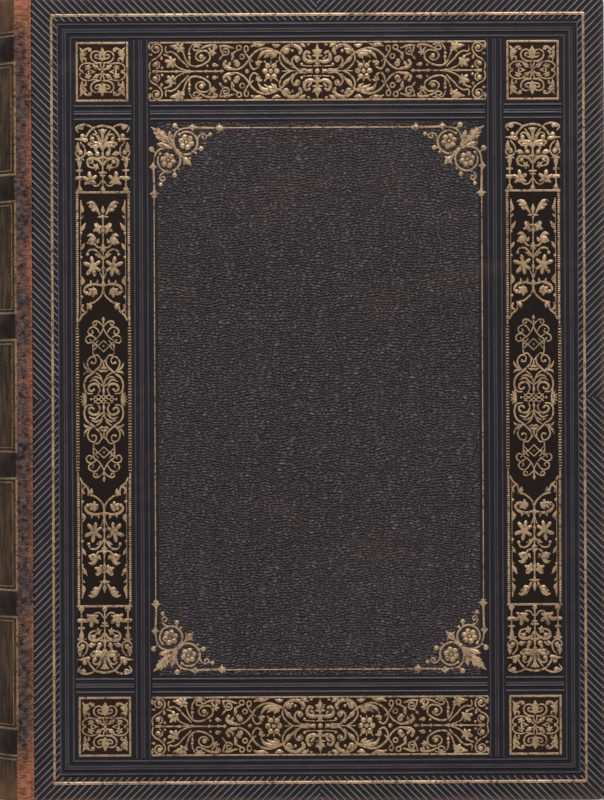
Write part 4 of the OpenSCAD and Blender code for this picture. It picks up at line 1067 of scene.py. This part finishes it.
# %% [markdown]
# A covered board is pasteboard with leather drawn over its outer face and turned in over three
# edges. It is modelled as nested rings, from the middle of the outer face out to the edge, round
# it, and in over the turn-ins. The edges get the soft rounding that pared leather has.

# %% Covered boards
BOARD_T, LEATHER_T, TURN_IN_T, TURN_IN_W = 4.2, 0.8, 0.5, 12.0
OUTER_R, INNER_R, CORNER_R, ROUND_STEPS = 1.3, 0.7, 2.0, 6


def reshape(piece, change):
    """Lets `change` work on a piece's mesh as a bmesh."""
    shaped = bmesh.new()
    shaped.from_mesh(piece.data)
    change(shaped)
    shaped.to_mesh(piece.data)
    shaped.free()


def board_ring(inset, depth, joint_inset=None, radius=0.0):
    """One ring of a covered board: points (x, y, depth below the outer face)."""
    x0 = joint_x + (inset if joint_inset is None else joint_inset)
    x1, y = fore_x - inset, half_h - inset
    points = [(x0, -y, depth)]
    for cy, a0 in ((-1, -90), (1, 0)):
        for k in range(ROUND_STEPS + 1):
            a = math.radians(a0 + 90 * k / ROUND_STEPS)
            points.append((x1 - radius + radius * math.cos(a),
                           cy * (y - radius) + radius * math.sin(a), depth))
    return points + [(x0, y, depth)]


def edge_rings():
    """The rings of a board from the rounding of its outer edge to the hollow for the board."""
    turns = [math.radians(90 * k / ROUND_STEPS) for k in range(ROUND_STEPS + 1)]
    rings = []
    for a in turns:
        inset = OUTER_R * (1 - math.sin(a))
        rings.append(board_ring(inset, OUTER_R * (1 - math.cos(a)), inset * 0.7, CORNER_R + OUTER_R - inset))
    inside = LEATHER_T + BOARD_T
    total = inside + TURN_IN_T
    for a in turns[1:]:
        inset = INNER_R * (1 - math.cos(a))
        rings.append(board_ring(inset, total - INNER_R * (1 - math.sin(a)), 0, 2 * OUTER_R - inset))
    return rings + [board_ring(TURN_IN_W, total, 0.4), board_ring(TURN_IN_W, inside, 0.4),
                    board_ring(LEATHER_T, inside, 0.1, 1.2), board_ring(LEATHER_T, LEATHER_T, 0.1, 1.2)]


print("a board's edge and inside take", len(edge_rings()), "rings")

# %% Leather of the front cover


def covered_board(name, face_rings, level, side, materials, node, body):
    """The leather of one board, whose outer face has rings of (inset, depth, material number).

    `side` is 1 for the front cover and -1 for the back."""
    rings = [board_ring(inset, depth) for inset, depth, _ in face_rings] + edge_rings()
    finishes = [finish for _, _, finish in face_rings]
    finishes += [1] * (len(rings) - len(finishes))
    points = [(x, y, level - side * depth) for ring in rings for x, y, depth in ring]
    n = len(rings[0])
    last = len(points) - n
    faces = [tuple(range(n))] + [(a, d, c, b) for a, b, c, d in skin(0, len(rings), n)]
    faces.append(tuple(reversed(range(last, last + n))))
    if side < 0:
        faces = [tuple(reversed(face)) for face in faces]
    piece = build(name, points, faces, materials)
    for number, face in enumerate(piece.data.polygons):
        face.material_index = finishes[min((number + n - 1) // n, len(rings) - 1)]

    def weld(shaped):
        bmesh.ops.remove_doubles(shaped, verts=shaped.verts, dist=1e-6)
        bmesh.ops.dissolve_degenerate(shaped, edges=shaped.edges, dist=1e-7)

    reshape(piece, weld)
    piece.data.set_sharp_from_angle(angle=math.radians(35))
    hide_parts(node)
    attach(piece, body)
    print(name, len(piece.data.polygons), "faces")


covered_board(
    "front_cover_leather",
    [(half_w - centre_x + 1.2, 0, 0), (half_w - fillet_x - 0.9, 0, 1), (1.4, 0, 2)],
    cover_top, 1, [field_leather, tooled_leather, ribbed_leather], "front_leather", "front_cover")

# %% [markdown]
# The back cover has no gold. Its three frames are blind lines, pressed in with a warm tool and
# no leaf, so here the nested rings dip a fifth of a millimetre and rise again.

# %% Back cover
BLIND_W, BLIND_DEPTH = 0.9, 0.2
face = [(half_w - centre_x + 0.6, 0, 0)]
for inset in (half_w - centre_x, half_w - fillet_x + FILLET_PITCH, half_w - line_x):
    face += [(inset + BLIND_W / 2, 0, 1), (inset, BLIND_DEPTH, 1), (inset - BLIND_W / 2, 0, 1)]
covered_board("back_cover_leather", face + [(1.4, 0, 1)], 0, -1, [field_leather, tooled_leather],
              "back_leather", "back_cover")

# %% [markdown]
# The grounds under the gold were struck smooth and dark by the block that laid the gold: nearly
# black in the columns, a little browner in the corner squares and the head and tail panels. Each
# is a plate a few hundredths of a millimetre above the leather, so that the two never fight.

# %% Grounds of the panels
GROUND_SUNK, GROUND_PROUD = 0.1, 0.03


def plate(points, faces, x0, y0, x1, y1):
    """Adds a closed flat box at the level of the cover."""
    first = len(points)
    for z in (cover_top - GROUND_SUNK, cover_top + GROUND_PROUD):
        points += [(x0, y0, z), (x1, y0, z), (x1, y1, z), (x0, y1, z)]
    for a, b, c, d in ((3, 2, 1, 0), (4, 5, 6, 7), (0, 1, 5, 4), (1, 2, 6, 5), (2, 3, 7, 6), (3, 0, 4, 7)):
        faces.append((first + a, first + b, first + c, first + d))


points, faces = [], []
column_y = inner_y - group_w - 1.0
for side in (-1, 1):
    x = middle + side * column_x
    plate(points, faces, x - 9.6, -column_y, x + 9.6, column_y)
    for end in (-1, 1):
        plate(points, faces, x - 9.3, end * end_y - 10.6, x + 9.4, end * end_y + 10.6)
for end in (-1, 1):
    plate(points, faces, middle - panel_half, end * end_y - 10.5, middle + panel_half,
          end * end_y + 10.5)
grounds = build("panel_grounds", points, faces, [column_ground, panel_ground], 30)
for face in grounds.data.polygons:
    face.material_index = int(abs(face.center.y) > column_y * MM)
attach(grounds, "front_cover")
print("grounds:", len(faces) // 6)

# %% [markdown]
# The ribs round the cover run at 45 degrees and turn at the middle of each side, where they make
# chevrons. One rule places them all: rib number k lies where v = u + c, with u outwards from the
# gilt line, v along the cover's side, and c growing by one pitch a rib. Nodes clip each rib at
# the middle of the side and at the edge of the cover, and sweep a rod half sunk in the leather.
# Opposite quarters of the cover are alike, and the other two are half a pitch out of step.

# %% Rib tree
rib_tree, given, result = geometry_tree(
    "ribs", count=50, pitch=1.0, first=0.0, inside=1.0, outside=7.0, radius=0.4, material=None)
number = add(rib_tree, "GeometryNodeInputIndex").outputs[0]
place = plus(given["first"], times(number, given["pitch"]))
start = most(times(given["inside"], -1.0), times(place, -1.0))
reach = most(minus(given["outside"], start), 1e-5)
feet = add(rib_tree, "GeometryNodeMeshLine", {"Count": given["count"]}).outputs[0]
feet = add(rib_tree, "GeometryNodeSetPosition",
           {"Geometry": feet, "Position": vector(rib_tree, start, plus(start, place))}).outputs[0]
one = add(rib_tree, "GeometryNodeCurvePrimitiveLine", {"Start": (0, 0, 0), "End": (1, 1, 0)}).outputs[0]
one = add(rib_tree, "GeometryNodeResampleCurve", {"Curve": one, "Count": 5}).outputs[0]
rods = add(rib_tree, "GeometryNodeInstanceOnPoints",
           {"Points": feet, "Instance": one, "Scale": vector(rib_tree, reach, reach, 1.0)}).outputs[0]
rods = add(rib_tree, "GeometryNodeRealizeInstances", {0: rods}).outputs[0]
section = add(rib_tree, "GeometryNodeCurvePrimitiveCircle", {"Resolution": 8, "Radius": given["radius"]})
swept = add(rib_tree, "GeometryNodeCurveToMesh",
            {"Curve": rods, "Profile Curve": section.outputs[0], "Fill Caps": True}).outputs[0]
feed(result, {0: painted(swept, given["material"])})
print("rib tree:", len(rib_tree.nodes), "nodes")

# %% Ribs of the front cover
RIB_R, RIB_PITCH, RIB_SUNK = 0.42, 2.64, 0.02


def rib_side(name, length, reach_out, phase, last):
    """The ribs of half of one side, in its own (u, v): `length` is the line's half length."""
    count = int(round(length / RIB_PITCH))
    pitch = length / count
    lowest = math.ceil(0.3 - reach_out / pitch - phase)
    return grow(name, rib_tree, count=count + last - lowest, pitch=pitch * MM,
                first=(lowest + phase) * pitch * MM, inside=2.1 * MM, outside=reach_out * MM,
                radius=RIB_R * MM, material=ribbed_leather)


def spread(piece, mapping):
    """Copies a mesh by rows (x, y) of a matrix and keeps its faces pointing outwards."""
    copies = []
    for x_from, y_from in mapping:
        mesh = piece.data.copy()
        matrix = Matrix((x_from, y_from, (0, 0, 1, (cover_top - RIB_SUNK) * MM), (0, 0, 0, 1)))
        mesh.transform(matrix)
        if matrix.determinant() < 0:
            mesh.flip_normals()
        copies.append(put("part", mesh))
    bpy.data.objects.remove(piece)
    return copies


parts = []
for phase, flips in ((0.0, ((-1, 1), (1, -1))), (0.5, ((1, 1), (-1, -1)))):
    sides = rib_side("side_ribs", line_y, half_w - line_x - 0.3, phase, 1 if phase == 0 else 0)
    ends = rib_side("end_ribs", line_x, half_h - line_y - 0.3, phase, 0)
    parts += spread(sides, [((fx, 0, 0, (middle + fx * line_x) * MM), (0, fy, 0, 0))
                            for fx, fy in flips])
    parts += spread(ends, [((0, fx, 0, middle * MM), (fy, 0, 0, fy * line_y * MM))
                           for fx, fy in flips])
ribs = join("cover_ribs", parts)
ribs.data.set_sharp_from_angle(angle=math.radians(60))
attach(ribs, "front_cover")
print("ribs:", len(ribs.data.polygons), "faces")

# %% [markdown]
# Fillets are rounded ridges in sets of three, thin, thick and thin. The outer set runs round the
# cover with mitred corners. The upright inner ones run through, and the level ones stop at them.
# The thick ones are a little hollow along the top, so their two edges take the crest tone, partly rubbed wear
# and partly painted highlight.

# %% Fillets
ROUND = ((0.46, 0.1), (0.33, 0.28), (0.15, 0.37), (0.0, 0.4))
HOLLOW = ((0.47, 0.2), (0.41, 0.36), (0.34, 0.4), (0.24, 0.35), (0.1, 0.25))


def ridge_outline(width):
    """A ridge's outline as (across, up), from foot to foot: hollow on top if it is wide."""
    half = [(0.5, -0.1), *(HOLLOW if width > 1.4 else ROUND)]
    return [(-x * width, up) for x, up in half] + [(x * width, up) for x, up in reversed(half) if x]


def closed_ridge(points, faces, x, y, width):
    """A ridge round a rectangle, with mitred corners."""
    section = ridge_outline(width)
    first, n = len(points), len(section)
    for sx, sy in ((-1, -1), (1, -1), (1, 1), (-1, 1)):
        points += [(middle + sx * (x - across), sy * (y - across), cover_top + up)
                   for across, up in section]
    for k in range(4):
        a, b = first + k * n, first + (k + 1) % 4 * n
        faces += [(a + j, b + j, b + (j + 1) % n, a + (j + 1) % n) for j in range(n)]


def straight_ridge(points, faces, p, q, width):
    """A ridge from p to q, measured from the middle of the cover."""
    section = ridge_outline(width)
    first, n = len(points), len(section)
    run = Vector(q) - Vector(p)
    side = Vector((-run.y, run.x)).normalized()
    for end in (p, q):
        points += [(middle + end[0] - side.x * across, end[1] - side.y * across, cover_top + up)
                   for across, up in section]
    faces += skin(first, 2, n)
    faces += [tuple(reversed(range(first, first + n))), tuple(range(first + n, first + 2 * n))]


points, faces = [], []
closed_ridge(points, faces, line_x, line_y, 1.4)
for k, width in enumerate(FILLET_WIDTHS):
    closed_ridge(points, faces, fillet_x - k * FILLET_PITCH, fillet_y - k * FILLET_PITCH, width)
    x, y = inner_x - k * FILLET_PITCH, inner_y - k * FILLET_PITCH
    top = fillet_y - group_w - 0.9
    for sign in (-1, 1):
        straight_ridge(points, faces, (sign * x, -top), (sign * x, top), width)
        straight_ridge(points, faces, (-panel_half, sign * y), (panel_half, sign * y), width)
        for end in (-1, 1):
            straight_ridge(points, faces, (end * (inner_x + 0.9), sign * y),
                           (end * (fillet_x - group_w - 0.9), sign * y), width)
fillets = build("cover_fillets", points, faces, [tooled_leather], 50)
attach(fillets, "front_cover")
print("fillets:", len(faces), "faces")

# %% [markdown]
# The spine is rounded and has six raised bands. Its leather is swept round the back of the
# leaves: at each angle the outline is the same, but the bands fade out towards the joints, where
# an opened cover needs the room. At head and tail the leather rolls over the endbands. Its hide is
# brown and worn, and its colour is made darker over and beside the bands: PINGPONG counts the
# distance to the nearest of these evenly spaced bands.

# %% Measures of the spine
pages_low, pages_high = node_box("pages")
bands_low, bands_high = node_box("spine_bands")
JOINT_DROP, BACK_RISE, LINING_T, BAND_W, BAND_H, CAP_DEPTH = 1.0, 9.0, 0.8, 8.6, 2.0, 3.2
mid_z = cover_top / 2
shoulder = mid_z - JOINT_DROP - LEATHER_T
back_r = (shoulder**2 + BACK_RISE**2) / (2 * BACK_RISE)
back_angle = math.asin(shoulder / back_r)
back_x = pages_low.x + BACK_RISE
spine_cx = back_x + back_r - BACK_RISE
spine_r = back_r + LINING_T + LEATHER_T
band_angle = math.asin((mid_z - RELIEF - 0.6) / (spine_r + BAND_H)) - math.radians(1)


def between(low, high, count):
    return [low + (high - low) * k / count for k in range(count + 1)]


bands = between(bands_low.y + 3.5, bands_high.y - 3.5, 5)
pitch = bands[1] - bands[0]
print("spine radius", round(spine_r, 1), "mm, bands at", [round(b, 1) for b in bands])

# %% Leather of the spine
spine_hide = leather("spine_hide", colour(20, 14, 11), colour(80, 56, 41), colour(140, 98, 66),
                     grain_and_crease_shade=0.6, size=0.7, stretch=1.3, roughness=0.55, reach=14.0, amount=0.7,
                     scuff=0.4, bump=0.1, shine=0.08, cloudy=0.6)
shader = spine_hide.node_tree.nodes["Principled BSDF"]
place = object_place(spine_hide.node_tree)
steps = over(minus(axes_of(place)["Y"], bands[0] * MM), pitch * MM)
# The hide's colour is darker over and beside each band.
band_darkening = ramp(arithmetic("PINGPONG")(steps, 0.5), (4.0 / pitch, 0.8), (7.5 / pitch, 0.0))
plain_tone = shader.inputs["Base Color"].links[0].from_socket
streaks = noise(stretched(place, 1.0, 0.2, 1.0), 420.0, 4.0)
plain_tone = mix(ramp(streaks, (0.46, 0.0), (0.62, 0.5)), plain_tone, colour(100, 78, 52))
feed(shader, {"Base Color": mix(band_darkening, plain_tone, colour(26, 22, 23))})
print("spine leather:", len(spine_hide.node_tree.nodes), "nodes")

# %% Spine shape


def round_back(radius, angle, y):
    """A point on the spine, from its radius, its angle above the middle, and its height."""
    return (spine_cx - radius * math.cos(angle), y, mid_z + radius * math.sin(angle))


def spine_surface(angle, y):
    """The leather's radius there: raised over a band and drawn in a little beside it."""
    fade = min(1.0, max(0.0, (band_angle + math.radians(2.2) - abs(angle)) / math.radians(5.5)))
    fade = fade * fade * (3 - 2 * fade)
    rise = 0.0
    for band in bands:
        away = abs(y - band) / (BAND_W / 2)
        if away < 1:
            rise = max(rise, math.cos(away * math.pi / 2) ** 0.8 * BAND_H)
        elif away < 1.5:
            rise -= 0.18 * math.sin((away - 1) * 2 * math.pi)
    return spine_r + rise * fade


EDGE_R = 0.9


def spine_outline(angle):
    """The closed outline (radius, y) of the spine's leather, over both caps and back inside."""
    outer = [(spine_surface(angle, y), y) for y in between(EDGE_R - half_h, half_h - EDGE_R, 420)]
    lip = back_r - CAP_DEPTH
    head = [(spine_r - EDGE_R + EDGE_R * math.cos(a), half_h - EDGE_R + EDGE_R * math.sin(a))
            for a in (0.4, 0.8, 1.2, math.pi / 2)]
    head += [(lip + 0.3, half_h), (lip, half_h - 0.3), (lip + 0.2, half_h - LEATHER_T),
             (spine_r - LEATHER_T, half_h - LEATHER_T)]
    return outer + head + [(radius, -y) for radius, y in reversed(head)]


angles = between(-back_angle, back_angle, 44)
points = [round_back(radius, angle, y) for angle in angles for radius, y in spine_outline(angle)]
n = len(points) // len(angles)
faces = skin(0, len(angles), n)
faces += [tuple(reversed(range(n))), tuple(range(len(points) - n, len(points)))]
spine = build("spine_leather_cover", points, faces, [spine_hide], 50)
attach(spine, "text_block")
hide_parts("spine_leather")
print("spine:", len(spine.data.polygons), "faces")

# %% [markdown]
# Over each joint the leather runs down from the spine, along the groove and up to the board. It
# is the hinge of the cover.

# %% Joints
JOINT_LINE = ((-7.4, -1.05), (-6.6, -0.93), (-5.6, -1.0), (-4.2, -1.06), (-2.8, -1.06), (-1.9, -1.0),
              (-1.3, -0.86), (-0.9, -0.62), (-0.6, -0.38), (-0.3, -0.2), (0.15, -0.1))
JOINT_T, END_DROP, END_RUN = 0.55, 0.4, 1.2


def joint_piece(name, side):
    """The leather of one joint: `side` is 1 for the front and -1 for the back."""
    outline = [(joint_x + x * (joint_x - back_x) / 6 if x < -1 else joint_x + x, up)
               for x, up in JOINT_LINE]
    outline += [(x, up - JOINT_T) for x, up in reversed(outline)]
    level = cover_top if side > 0 else 0.0
    stations = between(-half_h + 0.05, half_h - 0.05, 144)
    points, n = [], len(outline)
    for y in stations:
        end = max(0.0, (abs(y) - half_h + END_RUN) / END_RUN)
        points += [(x, y, level + side * (up - END_DROP * end * end)) for x, up in outline]
    faces = [(a, d, c, b) for a, b, c, d in skin(0, len(stations), n)]
    faces += [tuple(range(n)), tuple(reversed(range(len(points) - n, len(points))))]
    if side > 0:
        faces = [tuple(reversed(face)) for face in faces]
    piece = build(name, points, faces, [joint_hide], 60)
    reshape(piece, lambda shaped: bmesh.ops.recalc_face_normals(shaped, faces=shaped.faces))
    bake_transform(piece)


joint_piece("front_joint_leather", 1)
joint_piece("back_joint_leather", -1)
print("joints:", round(joint_x - back_x, 1), "mm wide")

# %% [markdown]
# Between the bands the spine has double gilt frames, dull and half rubbed away. They are drawn
# flat, as length round the back and height, and bent round the leather. The upright lines of the
# outer frames lie in the grooves, just past the round.

# %% Spine tooling
EDGE = BAND_W / 2 + 0.5
GROOVE_DEPTH = 0.93
spine_lines = Drawing(height=0.16, depth=0.1, bold=1.0)
round_half = back_angle * spine_r
for low_band, high_band in zip(bands, bands[1:]):
    for inset, width in ((0.0, 0.95), (1.4, 0.5)):
        y0, y1 = low_band + EDGE + inset, high_band - EDGE - inset
        across = round_half + 0.45 - inset * 1.5
        corners = [(-across, y0), (across, y0), (across, y1), (-across, y1)]
        for a, b in zip(corners, corners[1:] + corners[:1]):
            spine_lines.stroke([a, ((a[0] + b[0]) / 2, (a[1] + b[1]) / 2), b], [width])
for start, step in ((bands[-1] + EDGE, 1.4), (bands[0] - EDGE, -1.4)):
    for y in (start, start + step):
        spine_lines.stroke([(-round_half, y), (0, y), (round_half, y)], [0.7])


def bent(s, y, z):
    """A drawn point on the round of the back, or on the floor of the groove beside it."""
    if abs(s) <= round_half:
        return round_back(spine_surface(s / spine_r, y) + z, s / spine_r, y)
    edge = round_back(spine_r, math.copysign(back_angle, s), y)
    level = cover_top - GROOVE_DEPTH + z if s > 0 else GROOVE_DEPTH - z
    return (edge[0] + abs(s) - round_half, y, level)


points = [bent(s, y, z) for s, y, z in spine_lines.points]
spine_gold = build("spine_tooling", points, [tuple(reversed(f)) for f in spine_lines.faces],
                   [old_gold], 50)
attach(spine_gold, "text_block")
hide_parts("spine_gilding")
print("spine tooling:", len(spine_gold.data.polygons), "faces")

# %% [markdown]
# The leaves are one block. What shows of them is their edges, so the material draws fine level
# streaks, thousands of leaves thick with dust, and browns in bundles of them. The other papers
# are a soft cloud of two tones with sparse brown spots, as old paper foxes.

# %% Leaf edges


def streaked_paper(name, pale, dark, shadow):
    """The edges of many leaves lying on each other."""
    material, place, shader = new_material(name)
    leaves = noise(stretched(place, 14.0, 14.0, 3800.0), 1.0, 3.0)
    bundles = noise(stretched(place, 6.0, 6.0, 420.0), 1.0, 2.0)
    tone = mix(ramp(leaves, (0.35, 0), (0.65, 1)), dark, pale)
    tone = mix(ramp(bundles, (0.42, 0.55), (0.6, 0.0)), tone, shadow)
    feed(shader, {"Base Color": tone, "Roughness": 0.85})
    emboss(shader, plus(leaves, times(bundles, 1.5)), 0.7, 0.12)
    return material


leaf_edges = streaked_paper("leaf_edges", colour(214, 196, 160), colour(166, 144, 108), colour(120, 98, 70))
print("leaf edges:", len(leaf_edges.node_tree.nodes), "nodes")

# %% Endpapers and boards


def plain_paper(name, pale, dark, spot, size=14.0):
    """Old paper or board, with clouds that are smaller where `size` is larger."""
    material, place, shader = new_material(name)
    tone = mix(ramp(noise(place, size, 7.0, Roughness=0.6), (0.35, 0), (0.65, 1)), dark, pale)
    spots = add(material.node_tree, "ShaderNodeTexVoronoi",
                {"Vector": place, "Scale": 70.0}).outputs["Distance"]
    foxed = times(ramp(spots, (0.05, 1), (0.22, 0)), ramp(noise(place, 60.0, 4.0), (0.52, 0), (0.66, 0.6)))
    feed(shader, {"Base Color": mix(foxed, tone, spot), "Roughness": 0.9})
    emboss(shader, noise(place, 900.0, 3.0), 0.3, 0.05)
    return material


endpaper = plain_paper("endpaper", colour(222, 207, 176), colour(198, 178, 142), colour(150, 112, 70))
pasteboard = plain_paper("pasteboard", colour(150, 130, 104), colour(112, 94, 72), colour(80, 62, 44), 40.0)
lining_card = plain_paper("lining_card", colour(172, 152, 120), colour(134, 114, 86), colour(90, 70, 48), 30.0)
finishes = {
    "pages": leaf_edges, "front_flyleaf": endpaper, "back_flyleaf": endpaper,
    "front_pastedown": endpaper, "back_pastedown": endpaper, "front_board": pasteboard,
    "back_board": pasteboard, "spine_lining": lining_card, "spine_bands": lining_card,
}
for name, material in finishes.items():
    data = nodes[name].data
    data.materials.clear()
    data.materials.append(material)
print("papers on", len(finishes), "solids")

# %% [markdown]
# An endband is a cord wound with silk in two colours. Geometry Nodes place one loop of thread
# after another along an arc, four of one colour and then four of the other.

# %% Silk winding
silk_tree, given, result = geometry_tree(
    "silk_winding", radius=0.044, sweep=1.0, count=90, core=0.0012, thread=0.0003, cx=0.0, y=0.0,
    cz=0.0, material=None, second=None)
arc = add(silk_tree, "GeometryNodeCurveArc", {
    "Resolution": 64, "Radius": given["radius"], "Sweep Angle": given["sweep"],
    "Start Angle": minus(math.pi, times(given["sweep"], 0.5))}).outputs[0]
arc = add(silk_tree, "GeometryNodeTransform", {
    "Geometry": arc, "Translation": vector(silk_tree, given["cx"], given["y"], given["cz"]),
    "Rotation": (math.pi / 2, 0, 0)}).outputs[0]
loops = add(silk_tree, "GeometryNodeCurveToPoints", {"Curve": arc, "Count": given["count"]}).outputs
loop, thread = [add(silk_tree, "GeometryNodeCurvePrimitiveCircle",
                    {"Resolution": sides, "Radius": given[size]}).outputs[0]
                for sides, size in ((12, "core"), (6, "thread"))]
loop = add(silk_tree, "GeometryNodeCurveToMesh", {"Curve": loop, "Profile Curve": thread}).outputs[0]
number = add(silk_tree, "GeometryNodeInputIndex").outputs[0]
four = arithmetic("MODULO")(over(number, 4.0), 2.0)
is_first = arithmetic("LESS_THAN")(four, 1.0)
wound = []
for chosen, paint in ((is_first, "material"), (minus(1.0, is_first), "second")):
    placed = add(silk_tree, "GeometryNodeInstanceOnPoints", {
        "Points": loops["Points"], "Selection": chosen, "Instance": loop,
        "Rotation": loops["Rotation"]}).outputs[0]
    wound.append(painted(placed, given[paint]))
feed(result, {0: together(silk_tree, wound)})
print("silk tree:", len(silk_tree.nodes), "nodes")

# %% Silk endbands
LOOPS, CORD_R, THREAD_R = 92, 1.18, 0.32


def silk(name, base, light):
    material, place, shader = new_material(name)
    tone = mix(ramp(noise(place, 1500.0, 2.0), (0.3, 0), (0.7, 1)), base, light)
    feed(shader, {"Base Color": tone, "Roughness": 0.45, "Sheen Weight": 0.3})
    return material


red_silk = silk("red_silk", colour(104, 32, 28), colour(146, 56, 44))
cream_silk = silk("cream_silk", colour(196, 172, 128), colour(226, 206, 164))
for end, node in ((1, "head_endband"), (-1, "tail_endband")):
    band = grow(node + "_silk", silk_tree, radius=(back_r - CAP_DEPTH / 2) * MM,
                sweep=2 * (back_angle - math.radians(4)), count=LOOPS, core=CORD_R * MM,
                thread=THREAD_R * MM, cx=spine_cx * MM, y=end * (pages_high.y + 0.95) * MM,
                cz=mid_z * MM, material=red_silk, second=cream_silk)
    band.data.shade_smooth()
    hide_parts(node)
    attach(band, "text_block")
    print(band.name, len(band.data.polygons), "faces")
